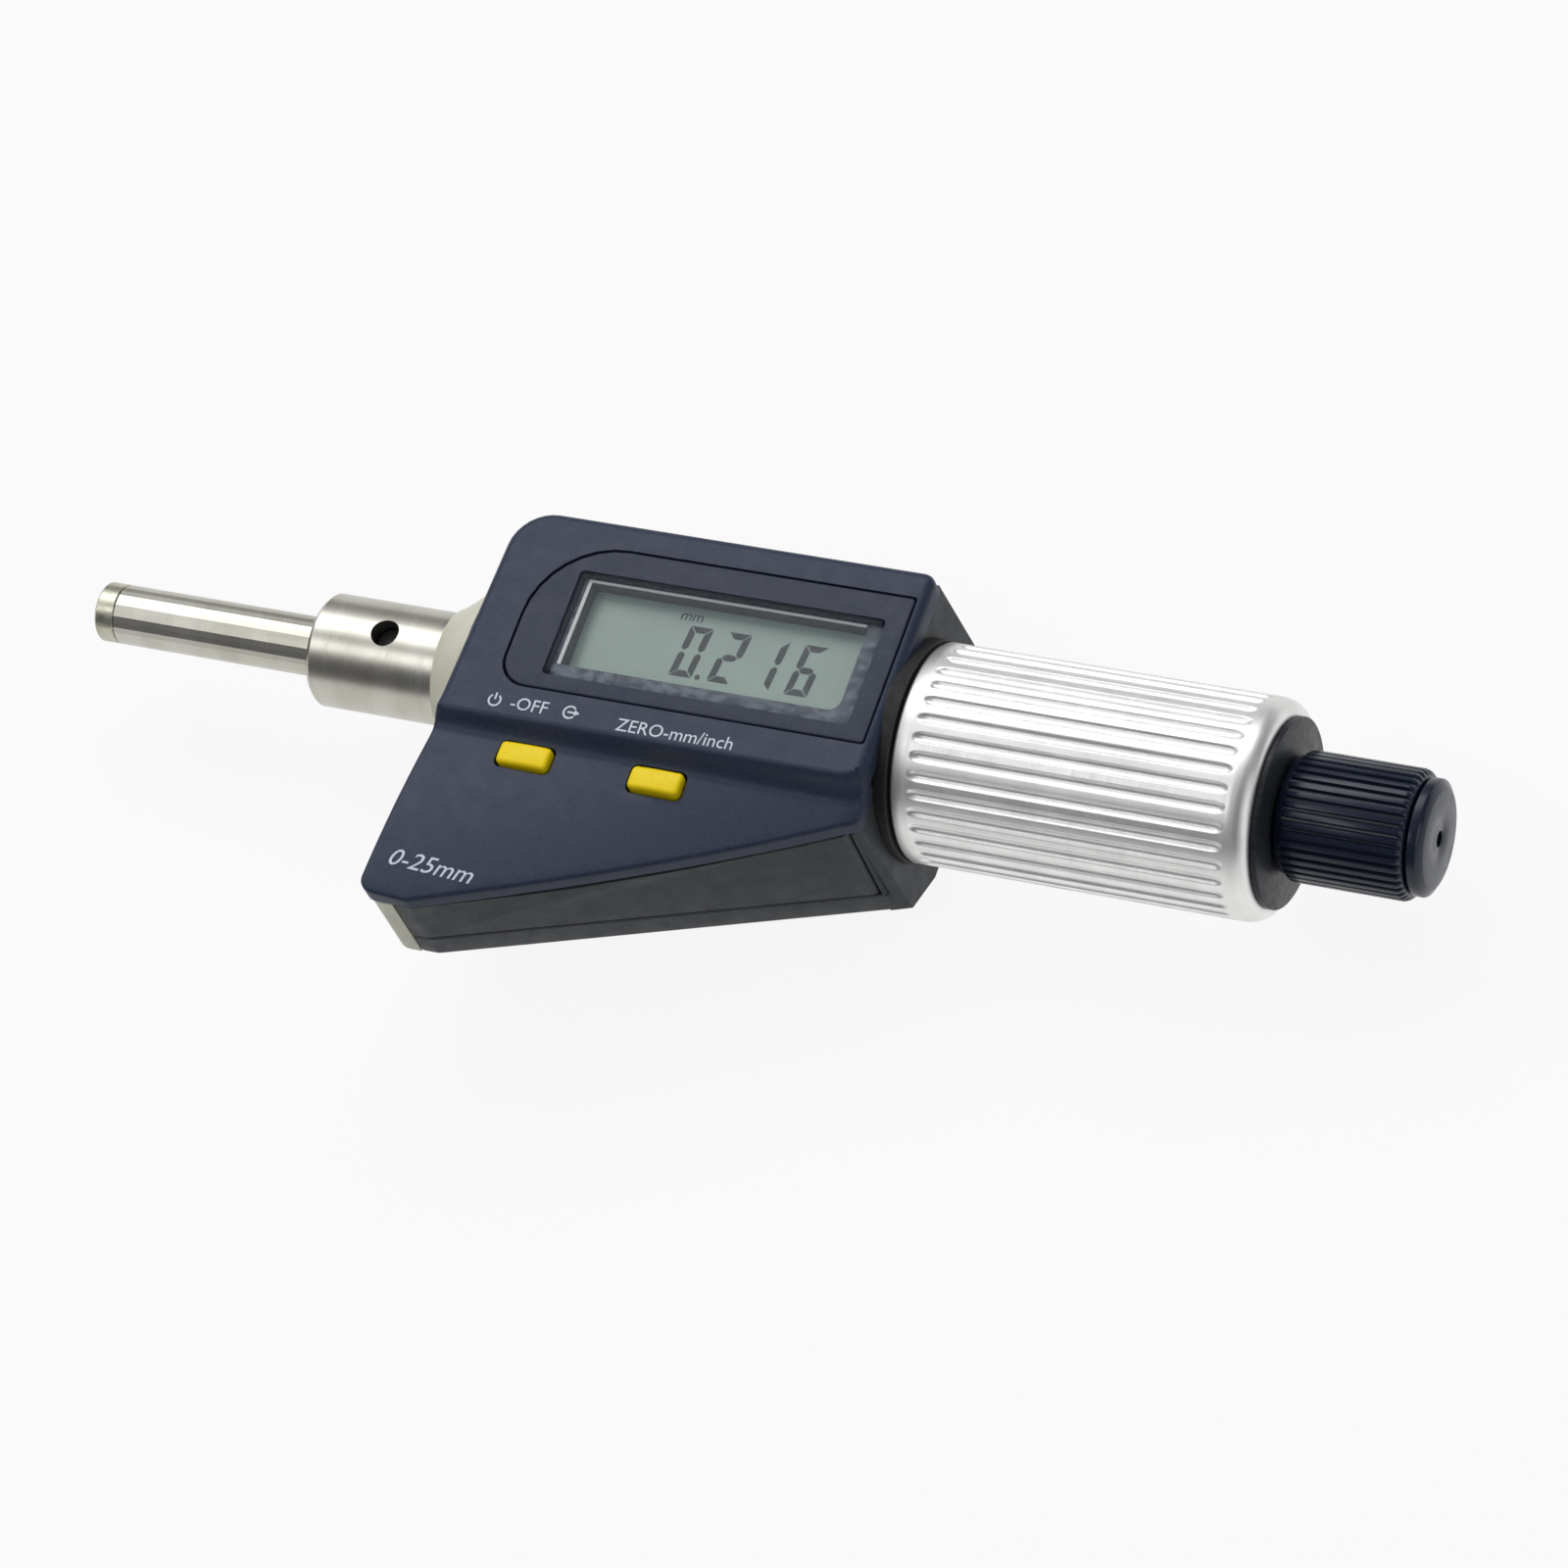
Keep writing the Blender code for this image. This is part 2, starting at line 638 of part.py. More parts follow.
def make_display():
    """Bezel insert, clear window, display panel, connector strip and circuit board."""
    bezel = bezel_plate("display_bezel", 0.0, PANEL_Z - BEZEL_DEPTH, PANEL_Z, SHELL)
    floor_z = PANEL_Z - BEZEL_DEPTH
    cut(bezel, window_box("cut_bezel_window", -GAP / 2, floor_z - OVERSHOOT, PANEL_Z + OVERSHOOT))
    lens = window_box("lens_window", 0.0, PANEL_Z - BEZEL_DEPTH, PANEL_Z + WINDOW_PROUD, CLEAR)
    bevel(lens, WINDOW_BEVEL, 1, 60)
    lcd_top = BOARD_CEILING - GAP
    lcd_bottom = lcd_top - LCD_THICKNESS
    window_box("lcd_panel", LCD_MARGIN, lcd_bottom, lcd_top, DISPLAY)
    board_top = BOARD_Z + BOARD_THICKNESS
    strip_y = WINDOW_BOTTOM + LCD_MARGIN
    box("lcd_connector", (BRACKET_X, strip_y, board_top + GAP / 2),
        (BLOCK_START - 2 * GAP, strip_y + CONNECTOR_WIDTH, lcd_bottom - GAP / 2), RUBBER)
    notch_x = HUB_END - HUB_LENGTH / 2
    edge = SLAB_INNER + 3 * GAP
    outline = [
        (notch_x, BOARD_TOP), (notch_x, -ENCODER_R - GAP * 4), (edge, -ENCODER_R - GAP * 4),
        (edge, BOARD_BOTTOM), (BLOCK_START - GAP, BOARD_BOTTOM), (BLOCK_START - GAP, BOARD_TOP),
    ]
    plate("circuit_board", outline, BOARD_Z, board_top, BOARD)


def button_places():
    return [HOUSING_X + BUTTON_1_X, HOUSING_X + BUTTON_2_X]


def button_body(name, x, inset, low, high, finish=None):
    """A round-cornered button block."""
    half_x = BUTTON_LENGTH / 2 - inset
    half_y = BUTTON_WIDTH / 2 - inset
    corners = [(x - half_x, BUTTON_Y + half_y), (x - half_x, BUTTON_Y - half_y),
               (x + half_x, BUTTON_Y - half_y), (x + half_x, BUTTON_Y + half_y)]
    outline = rounded([(*corner, BUTTON_ROUND) for corner in corners], 3)
    return plate(name, outline, low, high, finish)


def make_buttons():
    """Two buttons with flanges under the shell, over one rubber pad."""
    pad_low = BOARD_Z + BOARD_THICKNESS + GAP / 2
    pad_high = pad_low + PAD_THICKNESS
    flange_low = pad_high + BUTTON_TRAVEL + GAP / 3
    for name, x in zip(("set_button", "unit_button"), button_places()):
        top = dish_z(x, BUTTON_Y) + BUTTON_PROUD
        button = button_body(name, x, 0.0, flange_low, top, YELLOW)
        flange = button_body(f"add_{name}_flange", x, -BUTTON_FLANGE, flange_low,
                             flange_low + BUTTON_FLANGE_THICKNESS)
        bevel(button, BUTTON_ROUND / 2, 2, 60)
        join(button, flange)
    first, last = button_places()
    reach = BUTTON_LENGTH / 2 + BUTTON_FLANGE
    half = BUTTON_WIDTH / 2 + BUTTON_FLANGE / 2
    box("button_pad", (first - reach, BUTTON_Y - half, pad_low),
        (last + reach, BUTTON_Y + half, pad_high), RUBBER)


def slope_frame():
    """Place and inward direction of the battery cap on the sloped back."""
    angle = math.atan(BACK_SLOPE)
    inward = Vector((0.0, math.sin(angle), math.cos(angle)))
    centre = Vector((HOUSING_X + CELL_X, CELL_Y, back_z(CELL_Y)))
    return centre, inward


def make_rear_cover():
    """Tray below the parting line, with the end wall and the thimble's seat."""
    corners = housing_corners(0.0, WALL_INNER + END_WALL / 2)
    cover = plate("rear_cover", rounded(corners), BACK_Z - OVERSHOOT, PANEL_Z, COVER)
    cut(cover, below_back("cut_cover_back", 0.0))
    cut(cover, above_back("cut_cover_parting", COVER_DEPTH - GAP / 2))
    bevel(cover, EDGE_ROUND / 2, 2, 28)
    cut(cover, slab_room("cut_cover_slab"))
    room = plate("cut_cover_room", rounded(housing_corners(WALL, FRAME_RIGHT), 3),
                 BACK_Z - OVERSHOOT, PANEL_Z)
    cut(room, below_back("cut_room_floor", COVER_WALL))
    cut(cover, room)
    cut(cover, block_room("cut_cover_block", BACK_Z + COVER_WALL + GAP / 3))
    join(cover, make_end_wall())
    centre, inward = slope_frame()
    well_r = CAP_R + GAP
    well = rod("add_well", centre + inward * EDGE_ROUND, inward, well_r + WELL_WALL, WELL_DEPTH - EDGE_ROUND)
    join(cover, well)
    cut(cover, rod("cut_well", centre - inward * OVERSHOOT, inward, well_r, WELL_DEPTH + 2 * OVERSHOOT))
    holes = []
    for i, (x, y) in enumerate(screw_places()):
        height = back_z(y) + COVER_DEPTH + OVERSHOOT - BACK_Z
        under = (x, y, BACK_Z - OVERSHOOT)
        holes.append(rod(f"hole_{i}", under, (0, 0, 1), SCREW_R + GAP, height, None, 12))
    cut(cover, merged("cut_screw_holes", holes))
    sinks = []
    for i, (x, y) in enumerate(screw_places()):
        depth = screw_seat(y) + GAP / 2 - (BACK_Z - OVERSHOOT)
        under = (x, y, BACK_Z - OVERSHOOT)
        sinks.append(rod(f"sink_{i}", under, (0, 0, 1), SCREW_HEAD_R + GAP, depth, None, 16))
    cut(cover, merged("cut_screw_sinks", sinks))
    return cover


def make_end_wall():
    """Wall at the thimble's end, with draft, a round seat and the sleeve's hole."""
    top = BOARD_CEILING - GAP / 2
    depth = PANEL_Z - BACK_Z
    inner = []
    outer = []
    for y, z in ((None, None), (BACK_FLAT_LOW, BACK_Z), (BACK_FLAT_HIGH, BACK_Z),
                 (HOUSING_TOP, back_z(HOUSING_TOP)), (HOUSING_TOP, top), (None, top)):
        for ring, x in ((inner, WALL_INNER), (outer, SEAT_X)):
            side = side_y(x) if y is None else y
            height = back_z(side) if z is None else z
            lean = END_DRAFT * (height - BACK_Z) / depth if ring is outer else 0.0
            ring.append((x - lean, side, height))
    wall = loft("add_end_wall", [inner, outer])
    cut(wall, dish("cut_wall_dish", WALL + GAP / 2, WALL / 2))
    seat_start = SHELL_RIGHT + GAP / 2
    seat = [(SEAT_X, 0.0), (SEAT_X, SEAT_R), (seat_start, SEAT_R), (seat_start, 0.0)]
    join(wall, turned("add_seat", seat))
    hole = turned("cut_seat_hole", [(SEAT_X + OVERSHOOT, 0.0), (SEAT_X + OVERSHOOT, SLEEVE_SHANK_R + GAP),
                                    (WALL_INNER - OVERSHOOT, SLEEVE_SHANK_R + GAP),
                                    (WALL_INNER - OVERSHOOT, 0.0)])
    cut(wall, hole)
    return wall


def make_battery():
    """Coin cell, its contact, and the cap that turns in the sloped back."""
    centre, inward = slope_frame()
    cap_start = centre + inward * CAP_SINK
    cap = rod("battery_cap", cap_start, inward, CAP_R, CAP_THICKNESS, COVER, 32)
    slot = box("cut_coin_slot", (-COIN_SLOT_LENGTH / 2, -COIN_SLOT_WIDTH / 2, -OVERSHOOT),
               (COIN_SLOT_LENGTH / 2, COIN_SLOT_WIDTH / 2, COIN_SLOT_DEPTH))
    turn = Vector((0, 0, 1)).rotation_difference(inward).to_matrix().to_4x4()
    slot.data.transform(Matrix.Translation(cap_start) @ turn)
    cut(cap, slot)
    cell_start = cap_start + inward * (CAP_THICKNESS + GAP)
    cell = rod("battery", cell_start, inward, CELL_R, CELL_HEIGHT, STEEL, 32)
    bevel(cell, GAP, 1, 60)
    ring = rod("battery_cap_seal", cell_start, inward, CAP_R - GAP / 3, SEAL_RING * 1.5, RUBBER, 32)
    cut(ring, rod("cut_seal_ring", cell_start - inward * OVERSHOOT, inward, CAP_R - SEAL_RING,
                  3 * OVERSHOOT, None, 32))
    contact_start = cell_start + inward * (CELL_HEIGHT + GAP)
    contact = box("battery_contact", (-CONTACT_LENGTH / 2, -CONTACT_WIDTH / 2, 0.0),
                  (CONTACT_LENGTH / 2, CONTACT_WIDTH / 2, CONTACT_THICKNESS), BRASS)
    contact.data.transform(Matrix.Translation(contact_start) @ turn)
    return cap


def make_screws():
    """Four pan-head screws from the back into the shell's pillars."""
    for i, (x, y) in enumerate(screw_places()):
        seat = screw_seat(y)
        name = f"rear_screw_{i + 1}"
        screw = rod(name, (x, y, seat - SCREW_HEAD), (0, 0, 1), SCREW_HEAD_R, SCREW_HEAD, STEEL, 16)
        shank = rod(f"add_{name}_shank", (x, y, seat - SCREW_HEAD / 2), (0, 0, 1), SCREW_R,
                    SCREW_LENGTH - SCREW_HEAD, None, 12)
        join(screw, shank)
        cross = box(f"cut_{name}_slot",
                    (x - SCREW_HEAD_R, y - SCREW_HEAD_R / 6, seat - SCREW_HEAD - OVERSHOOT),
                    (x + SCREW_HEAD_R * 1.1, y + SCREW_HEAD_R / 6, seat - SCREW_HEAD * 0.6))
        cut(screw, cross)


def make_chassis():
    """Casting with the left wall, the flared boss, the floor and the sleeve's block."""
    top = BOARD_CEILING - GAP / 2
    slab = plate("chassis", rounded(housing_corners()), BACK_Z - OVERSHOOT, top, CREAM)
    cut(slab, below_back("cut_slab_back", 0.0))
    cut(slab, dish("cut_slab_dish", WALL + GAP / 2, WALL / 2))
    right_low = (SLAB_INNER, HOUSING_BOTTOM - OVERSHOOT, BACK_Z - 2 * OVERSHOOT)
    right_high = (SHELL_RIGHT + OVERSHOOT, HOUSING_TOP + OVERSHOOT, PANEL_Z)
    cut(slab, box("cut_slab_right", right_low, right_high))
    flare_end = HOUSING_X + LEFT_LEAN / 2
    flare_start = STEM_END - GAP
    wide = BOSS_R + BOSS_FLARE
    slab_middle = SLAB_INNER - SLAB / 2
    boss = [(BARREL_END, 0.0), (BARREL_END, BARREL_R), (slab_middle, BARREL_R), (slab_middle, wide)]
    for k in range(7):
        share = 1 - k / 6
        boss.append((flare_start + (flare_end - flare_start) * share, BOSS_R + BOSS_FLARE * share ** 1.2))
    boss.append((flare_start, 0.0))
    join(slab, turned("add_boss", boss))
    lid = rounded(housing_corners(-GAP))
    cut(slab, plate("cut_boss_top", lid, top, PANEL_Z + OVERSHOOT))
    floor_z = BACK_Z + COVER_WALL + GAP
    plate_low = (SLAB_INNER - SLAB / 2, -FLOOR_WIDTH / 2, floor_z)
    plate_high = (BLOCK_END, FLOOR_WIDTH / 2, floor_z + FLOOR_THICKNESS)
    join(slab, box("add_floor", plate_low, plate_high))
    block_low = (BLOCK_START, -BLOCK_WIDTH / 2, floor_z + FLOOR_THICKNESS / 3)
    block_high = (BLOCK_END - GAP / 3, BLOCK_WIDTH / 2, BLOCK_TOP)
    join(slab, box("add_block", block_low, block_high))
    stem_bore = STEM_R + GAP / 2
    bore = [(BARREL_END + OVERSHOOT, 0.0), (BARREL_END + OVERSHOOT, stem_bore),
            (flare_start - OVERSHOOT, stem_bore), (flare_start - OVERSHOOT, 0.0)]
    cut(slab, turned("cut_stem_bore", bore))
    shank_bore = SLEEVE_SHANK_R + GAP / 2
    bore = [(BLOCK_END + OVERSHOOT, 0.0), (BLOCK_END + OVERSHOOT, shank_bore),
            (BLOCK_START - OVERSHOOT, shank_bore), (BLOCK_START - OVERSHOOT, 0.0)]
    cut(slab, turned("cut_sleeve_bore", bore))
    return slab


def make_stem():
    """Clamping stem with a cross hole, and the wiper seal in its mouth."""
    bore = SPINDLE_R + RUN
    start = SPINDLE_REACH
    end = BARREL_END - GAP
    profile = [
        (end, bore), (end, STEM_R), (start + STEM_CHAMFER, STEM_R), (start, STEM_R - STEM_CHAMFER),
        (start, SEAL_R + GAP / 2), (start + SEAL_DEPTH + GAP, SEAL_R + GAP / 2),
        (start + SEAL_DEPTH + GAP, bore),
    ]
    stem = turned("stem_sleeve", profile, STEEL)
    hole = rod("cut_stem_hole", (start + STEM_HOLE_FROM_END, 0, 0), (0, 0, 1), STEM_HOLE_R,
               STEM_R + OVERSHOOT)
    cut(stem, hole)
    inner = SPINDLE_R + RUN / 2
    seal = [
        (start + SEAL_DEPTH, inner), (start + SEAL_DEPTH, SEAL_R), (start + GAP, SEAL_R),
        (start + GAP, inner + GAP * 2), (start + SEAL_DEPTH / 2, inner),
    ]
    turned("spindle_seal", seal, RUBBER, 32)


def make_spindle():
    """Measuring spindle with its keyway and thread, and the carbide tip."""
    tip = [(TIP_LENGTH, 0.0), (TIP_LENGTH, SPINDLE_R), (TIP_CHAMFER, SPINDLE_R),
           (0.0, SPINDLE_R - TIP_CHAMFER), (0.0, 0.0)]
    turned("carbide_tip", tip, CARBIDE, 32)
    profile = [
        (STUB_END, 0.0), (STUB_END, STUB_R), (THREAD_END, STUB_R), (THREAD_END, THREAD_R),
        (THREAD_START, THREAD_R), (THREAD_START - GAP, SPINDLE_R), (TIP_LENGTH + GAP / 2, SPINDLE_R),
        (TIP_LENGTH + GAP / 2, 0.0),
    ]
    spindle = turned("spindle", profile, STEEL, 32)
    key_start = ROTOR_X + ROTOR_THICKNESS
    low = (key_start - TRAVEL - GAP * 2, -KEYWAY_WIDTH / 2, SPINDLE_R - KEYWAY_DEPTH)
    high = (HUB_END + GAP * 2, KEYWAY_WIDTH / 2, SPINDLE_R + OVERSHOOT)
    cut(spindle, box("cut_keyway", low, high))
    tap = [(STUB_END + OVERSHOOT, 0.0), (STUB_END + OVERSHOOT, BOLT_R + GAP / 2),
           (STUB_END - BOLT_IN_SPINDLE - GAP, BOLT_R + GAP / 2), (STUB_END - BOLT_IN_SPINDLE - GAP, 0.0)]
    cut(spindle, turned("cut_spindle_tap", tap, None, 16))


def make_encoder():
    """Fixed stator, rotor keyed to the spindle, and the bracket that keeps the rotor in place."""
    bore = SPINDLE_R + RUN
    stator = [(STATOR_X + STATOR_THICKNESS, bore + GAP), (STATOR_X + STATOR_THICKNESS, ENCODER_R),
              (STATOR_X, ENCODER_R), (STATOR_X, bore + GAP)]
    turned("encoder_stator", stator, BOARD, 32)
    face = ROTOR_X + ROTOR_THICKNESS
    rotor_profile = [(HUB_END, bore), (HUB_END, HUB_R), (face, HUB_R), (face, ENCODER_R - GAP),
                     (ROTOR_X, ENCODER_R - GAP), (ROTOR_X, bore)]
    rotor = turned("encoder_rotor", rotor_profile, BRASS, 32)
    low = (face, -KEYWAY_WIDTH / 2 + GAP, SPINDLE_R - KEYWAY_DEPTH + GAP)
    high = (HUB_END - GAP, KEYWAY_WIDTH / 2 - GAP, (HUB_R + bore) / 2)
    join(rotor, box("add_key", low, high))
    floor_z = BACK_Z + COVER_WALL + GAP + FLOOR_THICKNESS + GAP
    bracket = box("rotor_bracket", (BRACKET_X, -BRACKET_WIDTH / 2, floor_z),
                  (BRACKET_X + BRACKET_THICKNESS, BRACKET_WIDTH / 2, BRACKET_TOP), STEEL)
    hole = [(BRACKET_X + OVERSHOOT, 0.0), (BRACKET_X + OVERSHOOT, bore), (BRACKET_X - OVERSHOOT, bore),
            (BRACKET_X - OVERSHOOT, 0.0)]
    cut(bracket, turned("cut_bracket_hole", hole, None, 32))


def make_inner_sleeve():
    """Sleeve in the chassis block that carries the spindle's nut, and the nut that adjusts its play."""
    thread_start = SLEEVE_END - NUT_LENGTH - GAP
    nut_bore = THREAD_R + RUN / 2
    shank_start = BLOCK_START + GAP
    profile = [
        (SLEEVE_END, nut_bore), (SLEEVE_END, SLEEVE_THREAD_R), (thread_start, SLEEVE_THREAD_R),
        (thread_start, SLEEVE_R), (SLEEVE_X, SLEEVE_R), (SLEEVE_X, SLEEVE_SHANK_R),
        (shank_start, SLEEVE_SHANK_R),
        (shank_start, SLEEVE_BORE_R), (thread_start, SLEEVE_BORE_R), (thread_start + GAP, nut_bore),
    ]
    turned("inner_sleeve", profile, STEEL)
    start = thread_start + GAP
    ring = [(SLEEVE_END, SLEEVE_THREAD_R + GAP / 2), (SLEEVE_END, NUT_R), (start, NUT_R),
            (start, SLEEVE_THREAD_R + GAP / 2)]
    nut = turned("adjusting_nut", ring, STEEL)
    notches = []
    for i in range(NUT_NOTCHES):
        turn = Matrix.Rotation(2 * math.pi * i / NUT_NOTCHES, 4, "X")
        notch = box(f"notch_{i}", (SLEEVE_END - NUT_LENGTH / 4, -GAP * 2, NUT_R - GAP * 2),
                    (SLEEVE_END + OVERSHOOT, GAP * 2, NUT_R + OVERSHOOT))
        notch.data.transform(turn)
        notches.append(notch)
    cut(nut, merged("cut_nut_notches", notches))


def groove_bar(index):
    """A thin bar with tapered ends, along the thimble."""
    start = THIMBLE_X + GROOVE_START
    end = start + GROOVE_LENGTH
    height = THIMBLE_R + GROOVE_LIFT
    rings = []
    for x, scale in ((start, 0.55), (start + GROOVE_TAPER, 1.0), (end - GROOVE_TAPER, 1.0), (end, 0.55)):
        ring = []
        for k in range(GROOVE_SIDES):
            turn = 2 * math.pi * (k + 0.5) / GROOVE_SIDES
            ring.append((x, GROOVE_R * scale * math.cos(turn), height + GROOVE_R * scale * math.sin(turn)))
        rings.append(ring)
    bar = loft(f"groove_{index}", rings)
    bar.data.transform(Matrix.Rotation(2 * math.pi * index / GROOVE_COUNT, 4, "X"))
    return bar


def make_thimble():
    """Thimble with grooves and a rounded end, and the dark disc on that end."""
    drop = THIMBLE_R - THIMBLE_RIM_R
    outer = []
    for k in range(7):
        turn = math.pi / 2 * k / 6
        outer.append((THIMBLE_END - THIMBLE_SHOULDER * (1 - math.cos(turn)),
                      THIMBLE_RIM_R + drop * math.sin(turn)))
    hub_start = THIMBLE_END - THIMBLE_HUB
    stub_bore = STUB_R + GAP / 2
    profile = [(THIMBLE_END, stub_bore)] + outer
    profile += [(THIMBLE_X + THIMBLE_EDGE, THIMBLE_R), (THIMBLE_X, THIMBLE_R - THIMBLE_EDGE),
                (THIMBLE_X, THIMBLE_BORE_R), (hub_start, THIMBLE_BORE_R), (hub_start, stub_bore)]
    thimble = turned("thimble", profile, ALUMINIUM, 2 * GROOVE_COUNT)
    cut(thimble, merged("cut_grooves", [groove_bar(i) for i in range(GROOVE_COUNT)]))
    disc_start = THIMBLE_END + DISC_SEAM
    bolt_bore = BOLT_R + GAP / 2
    disc = [(DISC_END, bolt_bore), (DISC_END, DISC_R - DISC_SEAM), (DISC_END - DISC_SEAM, DISC_R),
            (disc_start, DISC_R),
            (disc_start, bolt_bore)]
    turned("thimble_end_disc", disc, BLACK)


def knob_ring(x, outer, root):
    """A ring of ribs at one station."""
    ring = []
    for i in range(KNOB_RIBS):
        middle = 2 * math.pi * i / KNOB_RIBS
        pitch = 2 * math.pi / KNOB_RIBS
        for share, radius in ((-0.36, root), (-0.22, outer), (0.22, outer), (0.36, root)):
            turn = middle + share * pitch
            ring.append((x, radius * math.sin(turn), radius * math.cos(turn)))
    return ring


def make_ratchet():
    """Ribbed knob, its cap, and the bolt, toothed plate and spring inside."""
    cuff = KNOB_CHAMFER
    rings = [
        knob_ring(KNOB_X, KNOB_CUFF_R, KNOB_CUFF_R),
        knob_ring(KNOB_X + KNOB_CUFF, KNOB_CUFF_R, KNOB_CUFF_R),
        knob_ring(KNOB_X + KNOB_CUFF + cuff, KNOB_R, KNOB_ROOT_R),
        knob_ring(KNOB_END - cuff, KNOB_R, KNOB_ROOT_R),
        knob_ring(KNOB_END, KNOB_ROOT_R - cuff / 2, KNOB_ROOT_R - cuff / 2),
    ]
    knob = loft("ratchet_knob", rings, KNOB)
    room_start = KNOB_X + KNOB_WALL
    bolt_room = BOLT_R + RUN
    room = [(KNOB_END + OVERSHOOT, 0.0), (KNOB_END + OVERSHOOT, KNOB_BORE_R), (room_start, KNOB_BORE_R),
            (room_start, bolt_room), (KNOB_X - OVERSHOOT, bolt_room), (KNOB_X - OVERSHOOT, 0.0)]
    cut(knob, turned("cut_knob_room", room, None, 32))
    face = KNOB_END + GAP + CAP_BAND + CAP_BEVEL
    cap_profile = [
        (face, 0.0), (face, CAP_FACE_R), (face - CAP_BEVEL, CAP_END_R), (KNOB_END + GAP, CAP_END_R),
        (KNOB_END + GAP, KNOB_BORE_R - GAP / 2), (KNOB_END - CAP_PLUG, KNOB_BORE_R - GAP / 2),
        (KNOB_END - CAP_PLUG, 0.0),
    ]
    cap = turned("ratchet_cap", cap_profile, KNOB)
    cut(cap, rod("cut_pin_hole", (face - CAP_BAND, 0, 0), (1, 0, 0), PIN_HOLE_R, OVERSHOOT, None, 16))
    plate_x = room_start + RUN
    teeth = []
    for i in range(PLATE_TEETH * 2):
        turn = math.pi * i / PLATE_TEETH
        radius = PLATE_R if i % 2 else PLATE_R * 0.88
        teeth.append((radius * math.sin(turn), radius * math.cos(turn)))
    toothed = section_bar("ratchet_plate", teeth, plate_x, plate_x + PLATE_THICKNESS, STEEL)
    bore = [(plate_x + OVERSHOOT, 0.0), (plate_x + OVERSHOOT, BOLT_R + GAP / 2),
            (plate_x - OVERSHOOT, BOLT_R + GAP / 2), (plate_x - OVERSHOOT, 0.0)]
    cut(toothed, turned("cut_plate_bore", bore, None, 16))
    spring_x = plate_x + PLATE_THICKNESS + GAP / 2 + SPRING_WIRE_R
    make_spring(spring_x)
    head_x = spring_x + SPRING_LENGTH + SPRING_WIRE_R + GAP / 2
    bolt_profile = [
        (head_x + BOLT_HEAD, 0.0), (head_x + BOLT_HEAD, BOLT_HEAD_R), (head_x, BOLT_HEAD_R), (head_x, BOLT_R),
        (STUB_END - BOLT_IN_SPINDLE, BOLT_R), (STUB_END - BOLT_IN_SPINDLE, 0.0),
    ]
    bolt = turned("ratchet_bolt", bolt_profile, STEEL, 24)
    slot_low = (head_x + BOLT_HEAD / 2, -BOLT_HEAD_R * 1.1, -BOLT_R / 4)
    slot_high = (head_x + BOLT_HEAD + OVERSHOOT, BOLT_HEAD_R * 1.1, BOLT_R / 4)
    cut(bolt, box("cut_bolt_slot", slot_low, slot_high))


def make_spring(start):
    """Coil spring round the bolt, as a curve that is made a mesh."""
    steps = 12
    count = SPRING_TURNS * steps + 1
    curve = bpy.data.curves.new("spring_path", "CURVE")
    curve.dimensions = "3D"
    curve.bevel_depth = SPRING_WIRE_R
    curve.bevel_resolution = 0
    curve.use_fill_caps = True
    spline = curve.splines.new("POLY")
    spline.points.add(count - 1)
    for i, point in enumerate(spline.points):
        turn = 2 * math.pi * i / steps
        along = start + SPRING_LENGTH * i / (count - 1)
        point.co = (along, SPRING_R * math.sin(turn), SPRING_R * math.cos(turn), 1.0)
    guide = bpy.data.objects.new("spring_path", curve)
    CUTTERS.objects.link(guide)
    bpy.context.view_layer.update()
    shape = bpy.data.meshes.new_from_object(guide.evaluated_get(bpy.context.evaluated_depsgraph_get()))
    bpy.data.objects.remove(guide, do_unlink=True)
    bm = bmesh.new()
    bm.from_mesh(shape)
    bmesh.ops.remove_doubles(bm, verts=bm.verts, dist=0.000001)
    shape.materials.clear()
    return add_object("ratchet_spring", mesh_of("ratchet_spring", bm), STEEL)


def set_pivot(name, spot):
    """Put an object's origin on its joint's axis without moving its shape."""
    thing = bpy.data.objects[name]
    thing.data.transform(Matrix.Translation(-Vector(spot)))
    thing.location = spot


make_chassis()
make_stem()
make_front_shell()
make_mid_frame()
make_display()
make_buttons()
make_rear_cover()
make_battery()
make_screws()
make_encoder()
make_inner_sleeve()
make_spindle()
make_thimble()
make_ratchet()
for button_name, button_x in zip(("set_button", "unit_button"), button_places()):
    set_pivot(button_name, (button_x, BUTTON_Y, dish_z(button_x, BUTTON_Y)))
set_pivot("battery_cap", slope_frame()[0])
set_pivot("battery_cap_seal", slope_frame()[0])
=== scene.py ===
# %% [markdown]
# A digital micrometer head, dressed for a photograph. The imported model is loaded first. It fixes the
# outer size and every joint, so this lesson only adds finer skins and finishes to it.
# The X axis is the spindle's axis, and +Z is the way the display looks.

